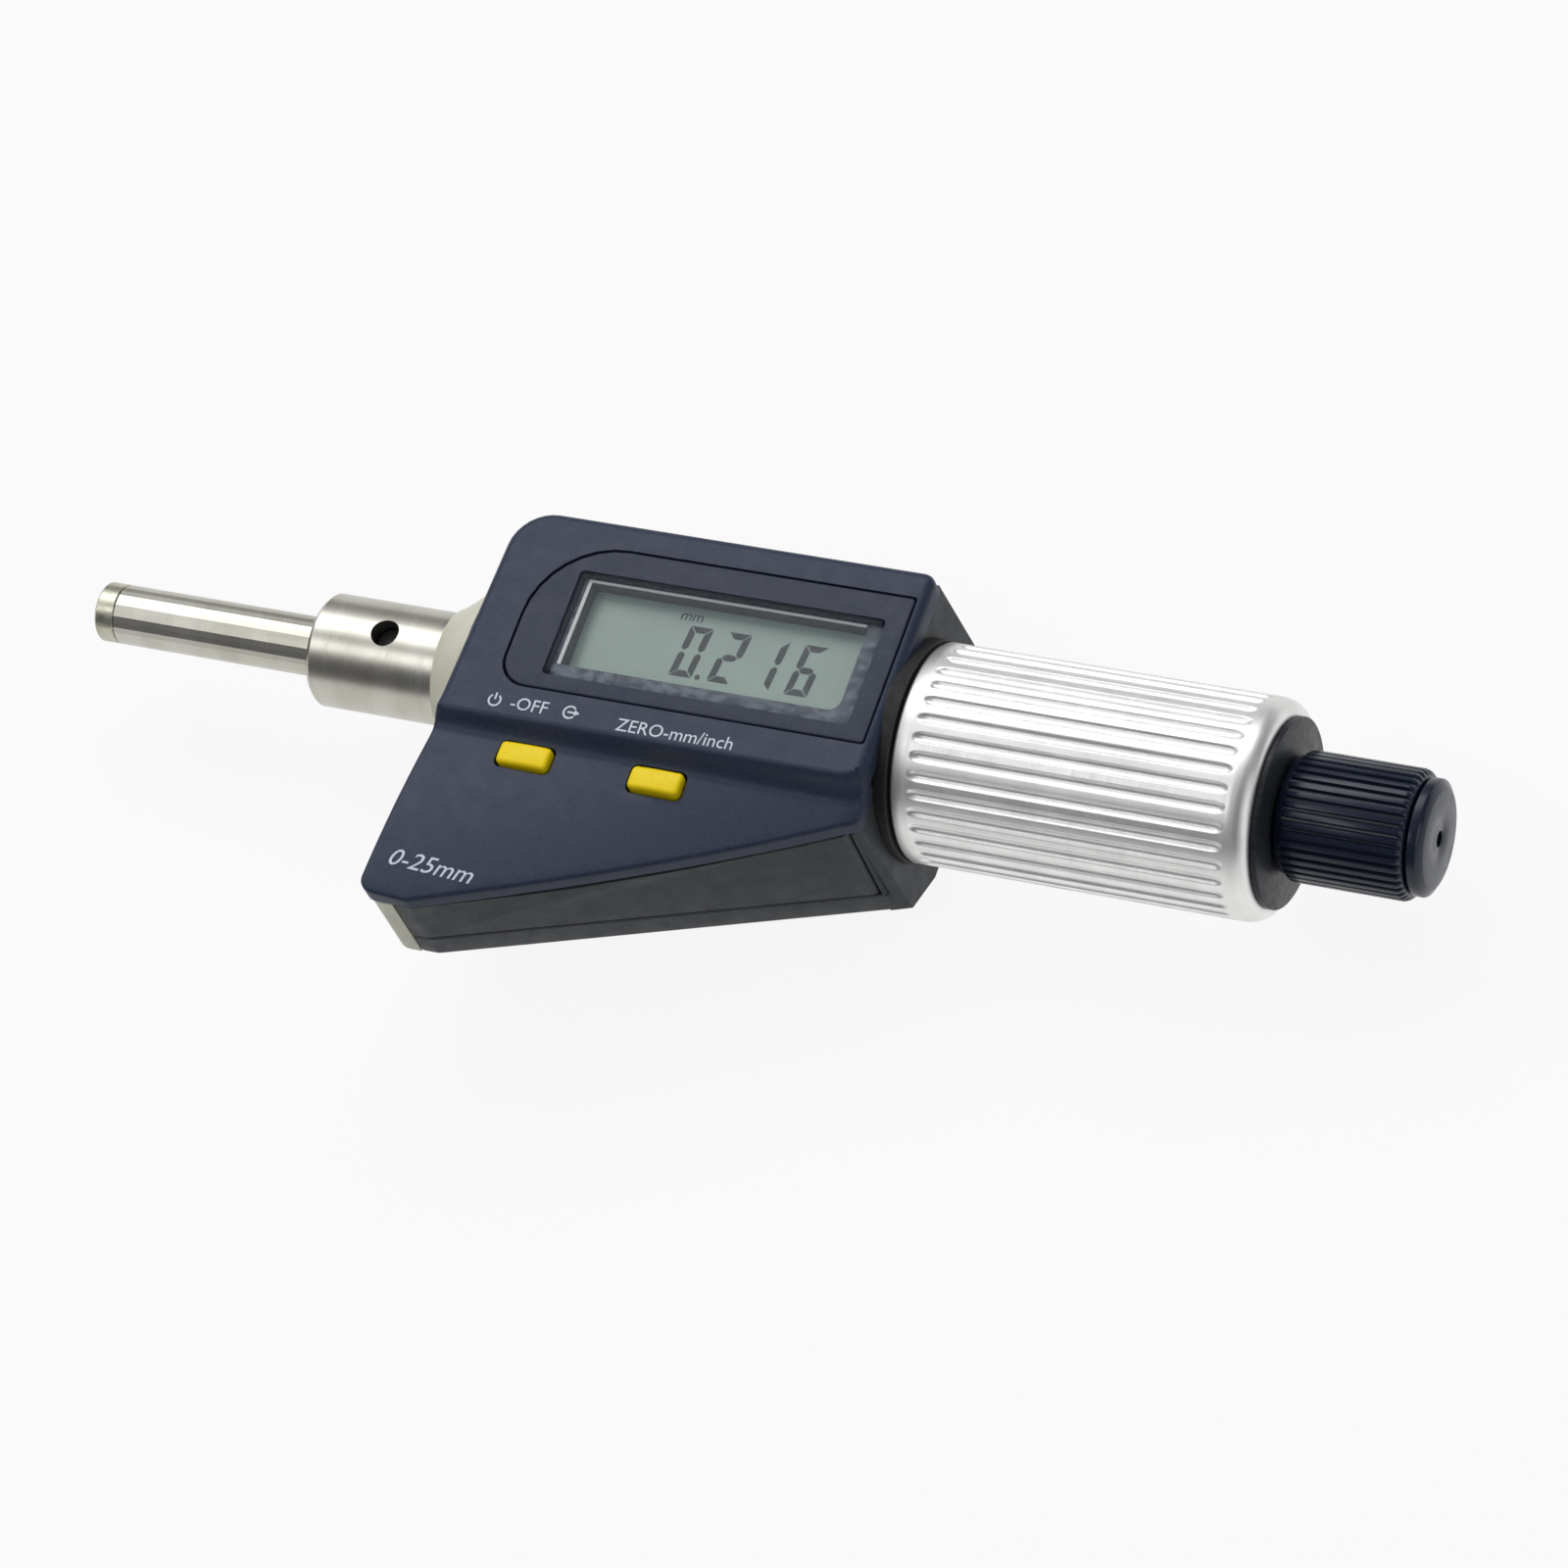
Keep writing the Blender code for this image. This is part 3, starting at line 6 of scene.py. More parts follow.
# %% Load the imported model
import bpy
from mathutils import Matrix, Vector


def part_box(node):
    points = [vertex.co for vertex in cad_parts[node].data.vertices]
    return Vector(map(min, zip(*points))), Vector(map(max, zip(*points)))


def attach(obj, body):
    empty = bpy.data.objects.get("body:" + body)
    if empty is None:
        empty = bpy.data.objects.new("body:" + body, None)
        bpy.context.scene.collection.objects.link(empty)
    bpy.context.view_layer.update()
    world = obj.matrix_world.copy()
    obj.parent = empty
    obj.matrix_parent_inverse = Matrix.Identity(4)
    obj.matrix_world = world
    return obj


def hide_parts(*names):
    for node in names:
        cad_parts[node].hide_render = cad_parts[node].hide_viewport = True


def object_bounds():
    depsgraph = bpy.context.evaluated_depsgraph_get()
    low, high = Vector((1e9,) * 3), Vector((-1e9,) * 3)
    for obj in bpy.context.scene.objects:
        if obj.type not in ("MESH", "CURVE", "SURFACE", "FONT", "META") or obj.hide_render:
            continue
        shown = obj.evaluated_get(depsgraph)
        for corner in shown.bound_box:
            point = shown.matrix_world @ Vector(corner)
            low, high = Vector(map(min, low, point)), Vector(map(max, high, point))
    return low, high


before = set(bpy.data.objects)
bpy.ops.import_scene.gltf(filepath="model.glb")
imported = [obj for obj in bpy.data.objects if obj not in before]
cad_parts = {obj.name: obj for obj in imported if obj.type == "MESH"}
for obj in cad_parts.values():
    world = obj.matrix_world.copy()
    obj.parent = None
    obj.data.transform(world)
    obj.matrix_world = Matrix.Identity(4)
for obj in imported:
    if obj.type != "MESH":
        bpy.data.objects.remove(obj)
cad_low, cad_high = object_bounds()

# %% [markdown]
# Blender measures in metres, and a workshop drawing in millimetres. One value turns the second into
# the first, so every size below can be read as on a drawing.

# %% Imports and the unit
import math

import bmesh
import bpy
from mathutils import Matrix, Vector

mm = 0.001
print("model from", [round(v / mm, 2) for v in cad_low], "to", [round(v / mm, 2) for v in cad_high])

# %% [markdown]
# The photograph looks down on the head from its lower right, from about 0.7 m away with a long lens.
# A camera can be placed by hand and nudged, but here its place was fitted to the corners of the
# housing, so the render and the photograph can be laid over each other.

# %% Camera
camera_place = (0.348717, -0.290259, 0.578233)
towards_camera = Vector((0.38329, -0.40701, 0.82911)).normalized()
heading = math.radians(43.28)
roll = math.radians(-28.07)
level = Vector((math.cos(heading), math.sin(heading), 0.0))
rise = towards_camera.cross(level)
right = math.cos(roll) * level + math.sin(roll) * rise
up = -math.sin(roll) * level + math.cos(roll) * rise
eye = bpy.data.cameras.new("photo_camera")
eye.lens = 157.5
eye.sensor_width = 36.0
camera = bpy.data.objects.new("photo_camera", eye)
bpy.context.scene.collection.objects.link(camera)
turned = Matrix((right, up, towards_camera)).transposed().to_4x4()
camera.matrix_world = Matrix.Translation(camera_place) @ turned
bpy.context.scene.camera = camera
print("camera stands", round((camera.location - (cad_low + cad_high) / 2).length, 3), "m away")

# %% [markdown]
# The head lies on white. A floor that is only lit goes grey away from the lamps, and stronger lamps
# would burn out the pale metal. So the paper glows a little, but only for rays from the camera, the
# gloss and the window. The rest of it is plain paper, which keeps the soft shadow.

# %% Floor
floor_reach = 2.5
floor_gap = 0.2 * mm
paper_tone = 0.7
glow_share = 0.9
floor_mesh = bpy.data.meshes.new("studio_floor")
floor_sides = ((-1, -1), (1, -1), (1, 1), (-1, 1))
floor_mesh.from_pydata([(x * floor_reach, y * floor_reach, 0) for x, y in floor_sides], [], [(0, 1, 2, 3)])
studio_floor = bpy.data.objects.new("studio_floor", floor_mesh)
studio_floor.location.z = cad_low.z - floor_gap
bpy.context.scene.collection.objects.link(studio_floor)
paper = bpy.data.materials.new("white_paper")
paper.use_nodes = True
tree = paper.node_tree
plain_paper = tree.nodes["Principled BSDF"]
plain_paper.inputs["Base Color"].default_value = (paper_tone, paper_tone, paper_tone, 1)
plain_paper.inputs["Roughness"].default_value = 0.9
glow = tree.nodes.new("ShaderNodeEmission")
glow.inputs["Color"].default_value = (1, 1, 1, 1)
rays = tree.nodes.new("ShaderNodeLightPath")
camera_or_gloss = tree.nodes.new("ShaderNodeMath")
camera_or_gloss.operation = "MAXIMUM"
any_sight = tree.nodes.new("ShaderNodeMath")
any_sight.operation = "MAXIMUM"
dimmed = tree.nodes.new("ShaderNodeMath")
dimmed.operation = "MULTIPLY"
dimmed.inputs[1].default_value = glow_share
mixed_paper = tree.nodes.new("ShaderNodeMixShader")
tree.links.new(rays.outputs["Is Camera Ray"], camera_or_gloss.inputs[0])
tree.links.new(rays.outputs["Is Glossy Ray"], camera_or_gloss.inputs[1])
tree.links.new(camera_or_gloss.outputs[0], any_sight.inputs[0])
tree.links.new(rays.outputs["Is Transmission Ray"], any_sight.inputs[1])
tree.links.new(any_sight.outputs[0], dimmed.inputs[0])
tree.links.new(dimmed.outputs[0], mixed_paper.inputs[0])
tree.links.new(plain_paper.outputs[0], mixed_paper.inputs[1])
tree.links.new(glow.outputs[0], mixed_paper.inputs[2])
tree.links.new(mixed_paper.outputs[0], tree.nodes["Material Output"].inputs["Surface"])
floor_mesh.materials.append(paper)
print("floor at", round(studio_floor.location.z / mm, 2), "mm")

# %% [markdown]
# The room is bright up and to the left, and dim on the side of the knob. This is what gives the metal
# its dark and bright bands. One flat white all round would be simpler, but it washes them out.

# %% Room
world = bpy.data.worlds.new("white_room")
bpy.context.scene.world = world
world.use_nodes = True
sky = world.node_tree
where = sky.nodes.new("ShaderNodeTexCoord")
bright_side = sky.nodes.new("ShaderNodeVectorMath")
bright_side.operation = "DOT_PRODUCT"
bright_side.inputs[1].default_value = (-0.40, 0.45, 0.80)
ramp = sky.nodes.new("ShaderNodeValToRGB")
ramp.color_ramp.elements[0].position = 0.45
ramp.color_ramp.elements[0].color = (0.12, 0.12, 0.13, 1)
ramp.color_ramp.elements[1].position = 1.0
ramp.color_ramp.elements[1].color = (0.95, 0.96, 0.97, 1)
half_light = ramp.color_ramp.elements.new(0.84)
half_light.color = (0.36, 0.36, 0.37, 1)
sky.links.new(where.outputs["Generated"], bright_side.inputs[0])
sky.links.new(bright_side.outputs["Value"], ramp.inputs[0])
sky.links.new(ramp.outputs[0], sky.nodes["Background"].inputs["Color"])
sky.nodes["Background"].inputs["Strength"].default_value = 1.0
print("room has", len(ramp.color_ramp.elements), "tones")

# %% [markdown]
# Three large soft lamps do the rest: the key lamp behind the head, a weak one in front for the dish
# and the lettering, and one beside the knob. Small lamps would give hard shadows that the photograph
# doesn't show.

# %% Lamps
def soft_lamp(name, place, aim, width, height, power):
    """A rectangular studio lamp that looks at a point."""
    light = bpy.data.lights.new(name, "AREA")
    light.shape = "RECTANGLE"
    light.size = width
    light.size_y = height
    light.energy = power
    lamp = bpy.data.objects.new(name, light)
    lamp.location = place
    lamp.rotation_euler = (Vector(aim) - Vector(place)).to_track_quat("-Z", "Y").to_euler()
    bpy.context.scene.collection.objects.link(lamp)
    print(name, "gives", power, "W")


middle = (0.075, 0.0, 0.0)
soft_lamp("key_lamp", (-0.10, 0.42, 0.60), middle, 0.9, 0.4, 2.9)
soft_lamp("front_lamp", (-0.20, -0.30, 0.62), middle, 0.5, 0.2, 0.8)
soft_lamp("side_lamp", (0.75, -0.12, 0.27), middle, 0.4, 0.4, 0.7)
bpy.context.scene.view_settings.view_transform = "Standard"

# %% [markdown]
# Every finish on the head starts as one Principled shader, and gets its detail from noise that is
# laid out in metres, so its grain has a true size. The noise drives three things: a little change of
# colour, a change of roughness, and a bump. Picture textures could do this too, but noise has no
# seams and needs no file.

# %% Tools for finishes
def srgb(red, green, blue):
    """A colour as a screen shows it, turned into the linear values that a shader takes."""
    return tuple(((v / 255 + 0.055) / 1.055) ** 2.4 for v in (red, green, blue))


def finish(name, colour, roughness, metallic=0.0):
    """A Principled material with one colour and one roughness, ready for detail."""
    made = bpy.data.materials.new(name)
    made.use_nodes = True
    shader = made.node_tree.nodes["Principled BSDF"]
    shader.inputs["Base Color"].default_value = (*colour, 1)
    shader.inputs["Roughness"].default_value = roughness
    shader.inputs["Metallic"].default_value = metallic
    made.diffuse_color = (*colour, 1)
    return made


print("materials before:", len(bpy.data.materials))

# %% [markdown]
# Noise does most of the work. One tool lays it out, one lets it move a number of the shader, and one
# lets it move the colour. Noise seldom leaves its middle span, so that span is stretched over the two
# ends. Without this every finish would look flat.

# %% Grain, drive and tint
def grain(made, stretch, detail=3.0):
    """Noise on the object itself; stretch says how many grains fit in a metre on each axis."""
    nodes, links = made.node_tree.nodes, made.node_tree.links
    place = nodes.new("ShaderNodeTexCoord")
    scale = nodes.new("ShaderNodeMapping")
    scale.inputs["Scale"].default_value = stretch
    noise = nodes.new("ShaderNodeTexNoise")
    noise.inputs["Scale"].default_value = 1.0
    noise.inputs["Detail"].default_value = detail
    links.new(place.outputs["Object"], scale.inputs["Vector"])
    links.new(scale.outputs["Vector"], noise.inputs["Vector"])
    return noise.outputs["Fac"]


noise_low, noise_high = 0.3, 0.7


def drive(made, source, socket, low, high):
    """The noise moves a number of the shader between two values."""
    nodes, links = made.node_tree.nodes, made.node_tree.links
    span = nodes.new("ShaderNodeMapRange")
    span.inputs["From Min"].default_value = noise_low
    span.inputs["From Max"].default_value = noise_high
    span.inputs["To Min"].default_value = low
    span.inputs["To Max"].default_value = high
    links.new(source, span.inputs["Value"])
    links.new(span.outputs["Result"], nodes["Principled BSDF"].inputs[socket])


def tint(made, source, dark, light, low=0.35, high=0.65):
    """The noise moves the colour between two tones."""
    nodes, links = made.node_tree.nodes, made.node_tree.links
    tones = nodes.new("ShaderNodeValToRGB")
    tones.color_ramp.elements[0].position = low
    tones.color_ramp.elements[0].color = (*dark, 1)
    tones.color_ramp.elements[1].position = high
    tones.color_ramp.elements[1].color = (*light, 1)
    links.new(source, tones.inputs["Fac"])
    links.new(tones.outputs["Color"], nodes["Principled BSDF"].inputs["Base Color"])


print("noise is read from", noise_low, "to", noise_high)

# %% [markdown]
# The last tool is relief. Moving real points would need millions of them for pits this fine, while a
# bump only bends the light and costs no faces. Reliefs can be stacked, a coarse one under a fine one.

# %% Relief
def relief(made, source, depth, strength=1.0, under=None):
    """The noise raises and sinks the surface by a depth in metres, on top of a relief under it."""
    nodes, links = made.node_tree.nodes, made.node_tree.links
    bump = nodes.new("ShaderNodeBump")
    bump.inputs["Distance"].default_value = depth
    bump.inputs["Strength"].default_value = strength
    links.new(source, bump.inputs["Height"])
    if under is not None:
        links.new(under.outputs["Normal"], bump.inputs["Normal"])
    links.new(bump.outputs["Normal"], nodes["Principled BSDF"].inputs["Normal"])
    return bump


print("tools for finishes: finish, grain, drive, tint and relief")

# %% [markdown]
# The stem, the spindle and the sleeves are hardened steel, ground on a cylindrical grinder. Grinding
# leaves fine rings round the axis. Noise that is squeezed along X and drawn out round it gives such
# rings, where an even noise would look cast.

# %% Metals
ground_steel = finish("ground_steel", srgb(190, 188, 178), 0.3, 1.0)
grinding_rings = grain(ground_steel, (7000, 40, 40), 2.0)
tint(ground_steel, grain(ground_steel, (300, 150, 150)), srgb(184, 182, 171), srgb(196, 194, 185))
drive(ground_steel, grinding_rings, "Roughness", 0.27, 0.35)
relief(ground_steel, grinding_rings, 0.0012 * mm, 0.35)

carbide = finish("carbide", srgb(188, 188, 170), 0.34, 1.0)
tint(carbide, grain(carbide, (4000, 4000, 4000)), srgb(180, 180, 161), srgb(196, 196, 180))
drive(carbide, grain(carbide, (900, 900, 900)), "Roughness", 0.26, 0.42)
relief(carbide, grain(carbide, (7000, 7000, 7000), 1.0), 0.002 * mm, 0.5)
print("made", ground_steel.name, "and", carbide.name)

# %% [markdown]
# The thimble is turned from aluminium, then blasted with fine beads, so it is satin all over. The
# rings of the lathe still show faintly on its smooth ends. Two reliefs are stacked for this: rings
# below, and the bead blast on top.

# %% Satin aluminium and brass
satin_aluminium = finish("satin_aluminium", srgb(236, 236, 234), 0.38, 1.0)
lathe_rings = grain(satin_aluminium, (3600, 30, 30), 2.0)
turned_relief = relief(satin_aluminium, lathe_rings, 0.004 * mm, 0.5)
relief(satin_aluminium, grain(satin_aluminium, (9000, 9000, 9000), 1.0), 0.003 * mm, 0.5, turned_relief)
tint(satin_aluminium, grain(satin_aluminium, (260, 260, 260)), srgb(230, 230, 228), srgb(241, 241, 239))
drive(satin_aluminium, lathe_rings, "Roughness", 0.4, 0.5)

brass = finish("brass", srgb(205, 172, 104), 0.32, 1.0)
tint(brass, grain(brass, (1500, 1500, 1500)), srgb(186, 150, 84), srgb(218, 186, 120))
drive(brass, grain(brass, (700, 700, 700)), "Roughness", 0.24, 0.42)
relief(brass, grain(brass, (5000, 400, 400)), 0.003 * mm, 0.5)
print("made", satin_aluminium.name, "and", brass.name)

# %% [markdown]
# The chassis is a zinc casting in cream enamel. Baked enamel keeps a soft orange peel with waves of
# about a millimetre, which is what breaks up its highlights. A plain glossy cream would look like
# plastic, so two reliefs are stacked here too.

# %% Enamel
cream_enamel = finish("cream_enamel", srgb(214, 213, 194), 0.42)
tint(cream_enamel, grain(cream_enamel, (180, 180, 180)), srgb(207, 206, 186), srgb(220, 219, 201))
drive(cream_enamel, grain(cream_enamel, (450, 450, 450)), "Roughness", 0.36, 0.5)
peel = relief(cream_enamel, grain(cream_enamel, (1100, 1100, 1100), 1.0), 0.03 * mm, 0.5)
relief(cream_enamel, grain(cream_enamel, (6000, 6000, 6000), 1.0), 0.004 * mm, 0.4, peel)
print("made", cream_enamel.name)

# %% [markdown]
# The lid, the frame and the cover are moulded in plastic with a spark-eroded texture: tiny even pits
# of about a fifth of a millimetre. The lid is blue-grey and the parts behind it are a darker, more
# neutral grey. The rubber, the inks and the circuit board are finished in the same way, with their
# own colours and shine. The window's mask gets a coarser mottle in place of its first colour.

# %% Moulded plastics
def moulded(name, dark, light, rough_low, rough_high, pit_depth, shine=0.5):
    """Spark-textured plastic in two close tones."""
    made = finish(name, light, rough_high)
    made.node_tree.nodes["Principled BSDF"].inputs["Specular IOR Level"].default_value = shine
    tint(made, grain(made, (2600, 2600, 2600), 4.0), dark, light, 0.3, 0.7)
    drive(made, grain(made, (500, 500, 500)), "Roughness", rough_low, rough_high)
    waves = relief(made, grain(made, (160, 160, 160), 1.0), 0.03 * mm, 0.35)
    relief(made, grain(made, (5200, 5200, 5200), 2.0), pit_depth, 0.7, waves)
    print("made", name)
    return made


blue_grey = moulded("blue_grey_plastic", srgb(47, 55, 74), srgb(54, 62, 82), 0.36, 0.46, 0.006 * mm, 0.22)
bezel_blue = moulded("bezel_plastic", srgb(43, 50, 67), srgb(50, 57, 76), 0.34, 0.44, 0.005 * mm, 0.2)
dark_grey = moulded("dark_grey_plastic", srgb(52, 55, 60), srgb(61, 64, 69), 0.46, 0.6, 0.008 * mm, 0.35)
knob_black = moulded("knob_black_plastic", srgb(24, 31, 48), srgb(32, 40, 60), 0.22, 0.32, 0.003 * mm, 0.35)
# This black is the rubber's own, and on the ring at the thimble's seat and the plug in the oil hole it is
# painted shade.
rubber_and_shade_black = moulded("black_rubber_and_painted_shade", srgb(20, 20, 22), srgb(30, 30, 32), 0.62, 0.8, 0.014 * mm)
lettering = moulded("white_print", srgb(206, 211, 226), srgb(222, 226, 238), 0.5, 0.6, 0.003 * mm)
yellow = moulded("yellow_plastic", srgb(255, 218, 2), srgb(255, 230, 10), 0.34, 0.46, 0.005 * mm, 0.25)
window_mask = moulded("window_mask", srgb(52, 60, 76), srgb(60, 68, 84), 0.3, 0.42, 0.003 * mm, 0.2)
tint(window_mask, grain(window_mask, (800, 1100, 800), 6.0), srgb(70, 80, 94), srgb(114, 125, 140), 0.4, 0.62)
# This dark grey is painted shade for the inner walls of the window's opening.
window_painted_shade = moulded("window_painted_shade", srgb(38, 41, 46), srgb(50, 53, 58), 0.4, 0.5, 0.003 * mm)
# This near-white is a painted highlight for the polished edge of the window's opening.
edge_painted_highlight = moulded("edge_painted_highlight", srgb(238, 240, 238), srgb(248, 250, 248), 0.2, 0.3, 0.002 * mm)
circuit_green = moulded("circuit_green", srgb(18, 92, 50), srgb(28, 112, 62), 0.3, 0.42, 0.006 * mm)

# %% [markdown]
# The disc in the thimble's end is aluminium that was anodised black after turning. The black layer is
# a coating, so it shines like a plastic and not like bare metal, but the rings of the tool show.

# %% Black anodising
black_anodised = finish("black_anodised", srgb(40, 43, 48), 0.4)
tool_rings = grain(black_anodised, (400, 2400, 2400), 2.0)
tint(black_anodised, tool_rings, srgb(34, 37, 42), srgb(47, 50, 55))
drive(black_anodised, grain(black_anodised, (900, 900, 900)), "Roughness", 0.3, 0.44)
relief(black_anodised, tool_rings, 0.003 * mm, 0.5)
black_anodised.node_tree.nodes["Principled BSDF"].inputs["Specular IOR Level"].default_value = 0.2
print("made", black_anodised.name)

# %% [markdown]
# The window is clear acrylic. Real glass can be rendered with refraction, but light then reaches the
# display only through slow and noisy paths. A shader that is mostly see-through keeps its shine and
# lets the lamps reach the display.

# %% Window and display
clear_acrylic = finish("clear_acrylic", srgb(96, 104, 112), 0.06)
clear_acrylic.node_tree.nodes["Principled BSDF"].inputs["Alpha"].default_value = 0.12
drive(clear_acrylic, grain(clear_acrylic, (300, 300, 300)), "Roughness", 0.04, 0.12)
relief(clear_acrylic, grain(clear_acrylic, (90, 90, 90), 1.0), 0.01 * mm, 0.2)

display_glass = finish("display_glass", srgb(170, 185, 178), 0.35)
tint(display_glass, grain(display_glass, (40, 40, 40)), srgb(147, 171, 163), srgb(165, 188, 177))
drive(display_glass, grain(display_glass, (700, 700, 700)), "Roughness", 0.28, 0.4)
relief(display_glass, grain(display_glass, (8000, 8000, 8000), 1.0), 0.002 * mm, 0.3)

display_ink = finish("display_ink", srgb(38, 47, 48), 0.5)
tint(display_ink, grain(display_ink, (300, 300, 300)), srgb(33, 42, 43), srgb(44, 53, 54))
print("materials after:", len(bpy.data.materials))

# %% [markdown]
# All new skins pass through one bench: the mesh gets outward faces, soft shading, and sharp lines where two
# faces meet at a clear angle. Then it is told which body it rides on, and the CAD nodes that it stands for
# are hidden.

# %% Bench for new pieces
def skin(name, bm, finish_on_it, sharp=32):
    """An object from a bmesh, shaded soft between its sharp edges."""
    bmesh.ops.recalc_face_normals(bm, faces=bm.faces)
    mesh = bpy.data.meshes.new(name)
    bm.to_mesh(mesh)
    bm.free()
    mesh.materials.append(finish_on_it)
    mesh.shade_smooth()
    mesh.set_sharp_from_angle(angle=math.radians(sharp))
    made = bpy.data.objects.new(name, mesh)
    bpy.context.scene.collection.objects.link(made)
    return made


def settle(piece, body, slot, *nodes):
    """The piece rides on a body and stands for some nodes, which are hidden. The slot is not used."""
    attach(piece, body)
    if nodes:
        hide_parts(*nodes)
    print(piece.name, "on", body, "with", len(piece.data.polygons), "faces")


print("nodes to dress:", len(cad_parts))

# %% [markdown]
# The first skins are the round ones. A lathe part is a profile that is swept round the axis. A Screw
# modifier can do it, but a list of rings lets one part carry flutes or ribs as well: every ring may
# have its own radius in each direction.

# %% Lathe
def turned_skin(name, stations, columns, finish_on_it, sharp=32):
    """Rings of points round the X axis; a station is (x, radius) or (x, list of radii)."""
    bm = bmesh.new()
    loops = []
    for x, radius in stations:
        if radius == 0:
            loops.append([bm.verts.new((x, 0, 0))])
            continue
        radii = radius if isinstance(radius, list) else [radius] * len(columns)
        loops.append([bm.verts.new((x, r * math.sin(turn), r * math.cos(turn)))
                      for r, turn in zip(radii, columns)])
    closed = stations[0][1] != 0
    pairs = list(zip(loops, loops[1:])) + ([(loops[-1], loops[0])] if closed else [])
    count = len(columns)
    for near, far in pairs:
        for i in range(count):
            j = (i + 1) % count
            corners = [near[i % len(near)], near[j % len(near)], far[j % len(far)], far[i % len(far)]]
            face = list(dict.fromkeys(corners))
            if len(face) > 2:
                bm.faces.new(face)
    return skin(name, bm, finish_on_it, sharp)


def even(count):
    """Directions that are evenly spaced round the axis."""
    return [2 * math.pi * i / count for i in range(count)]


small_round = even(96)
large_round = even(128)
print("a small ring has", len(small_round), "points, a large one", len(large_round))

# %% [markdown]
# The spindle is a ground rod with a carbide face. Its free end is what touches the work, so its edge
# is only lightly chamfered. The thread and the key's groove stay hidden in the head, and the CAD
# solid gives them.

# %% Spindle and its carbide face
tip_low, tip_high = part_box("carbide_tip")
spindle_r = tip_high.z
braze_line = 0.06 * mm
tip_skin = turned_skin("measuring_tip", [
    (tip_low.x, 0), (tip_low.x, spindle_r - 0.3 * mm), (tip_low.x + 0.05 * mm, spindle_r - 0.16 * mm),
    (tip_low.x + 0.25 * mm, spindle_r), (tip_high.x - braze_line, spindle_r),
    (tip_high.x, spindle_r - braze_line), (tip_high.x, 0)], small_round, carbide)
settle(tip_skin, "spindle", "carbide", "carbide_tip")
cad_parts["spindle"].data.materials[0] = ground_steel
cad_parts["spindle_seal"].data.materials[0] = rubber_and_shade_black
print("spindle radius", round(spindle_r / mm, 3), "mm")

# %% [markdown]
# The thimble is the part that the fingers hold. It is turned with a rounded shoulder, and a ball
# cutter then runs along it to mill the flutes, which end in round tips. The depth of a flute is worked
# out for every point from its distance to the flute's middle line, and a small softening value rolls
# the edges over as blasting does. A Boolean with round bars gives the same form, but with rough ends.

# %% Sizes of the thimble and its flutes
thimble_low, thimble_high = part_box("thimble")
thimble_start, thimble_end = thimble_low.x, thimble_high.x
thimble_r = 11.34 * mm
thimble_bore_r = 9.15 * mm
end_wall_x = thimble_end - 5.2 * mm
end_hole_r = 3.25 * mm
mouth_edge = 0.35 * mm
shoulder = 2.1 * mm
rim_r = 9.95 * mm
flute_count = 36
flute_r = 0.62 * mm
flute_lift = 0.25 * mm
flute_run = 1.3 * mm
flute_soft = 0.05 * mm
flute_first = thimble_start + 3.1 * mm
flute_last = thimble_start + 34.3 * mm


def flute_depth(side, past):
    """Depth of a flute at a distance beside its middle line and past its straight part."""
    away = math.hypot(side, past * flute_r / flute_run)
    depth = math.sqrt(flute_r ** 2 - away ** 2) if away < flute_r else flute_r - away
    depth -= flute_lift
    return (depth + math.hypot(depth, flute_soft)) / 2


print("a flute is", round(flute_depth(0.0, 0.0) / mm, 2), "mm deep")

# %% [markdown]
# The points of a ring stand close together at a flute's edges, where its form turns fastest, and far
# apart on the lands between. Rings stand close together at the flutes' tips for the same reason. Even
# spacing would need nearly three times the points for edges as clean.

# %% Fluted thimble
beside = [0.0, 0.2, 0.38, 0.49, 0.545, 0.59, 0.65, 0.78]
land_middle = 0.99
sides = [v * mm for v in [-b for b in reversed(beside[1:])] + beside + [land_middle]]
thimble_columns = [2 * math.pi * i / flute_count + side / thimble_r
                   for i in range(flute_count) for side in sides]
offsets = sides * flute_count


def fluted(x):
    """A station of the thimble, with its radius in each direction."""
    past = max(0.0, flute_first - x, x - flute_last)
    return x, [thimble_r - flute_depth(side, past) for side in offsets]


tip_rings = 10
tip_step = 0.155 * mm
straight_runs = 6
shoulder_rings = 10
thimble_stations = [
    (end_wall_x, end_hole_r), (end_wall_x, thimble_bore_r), (thimble_start, thimble_bore_r),
    (thimble_start, thimble_r - mouth_edge), (thimble_start + 0.08 * mm, thimble_r - 0.16 * mm),
    (thimble_start + mouth_edge, thimble_r)]
thimble_stations += [fluted(flute_first - tip_step * (tip_rings - step)) for step in range(tip_rings + 1)]
thimble_stations += [fluted(flute_first + (flute_last - flute_first) * step / straight_runs)
                     for step in range(1, straight_runs)]
thimble_stations += [fluted(flute_last + tip_step * step) for step in range(tip_rings + 1)]
for step in range(1, shoulder_rings + 1):
    turn = math.pi / 2 * step / shoulder_rings
    thimble_stations.append((thimble_end - shoulder + shoulder * math.sin(turn),
                             rim_r + (thimble_r - rim_r) * math.cos(turn)))
thimble_stations.append((thimble_end, end_hole_r))
thimble_skin = turned_skin("fluted_thimble", thimble_stations, thimble_columns, satin_aluminium, 60)
settle(thimble_skin, "spindle", "satin_aluminium", "thimble")

# %% [markdown]
# A thin black disc closes the thimble's end. A plain disc would do, but a small chamfer round its rim
# catches the light as the real one does.

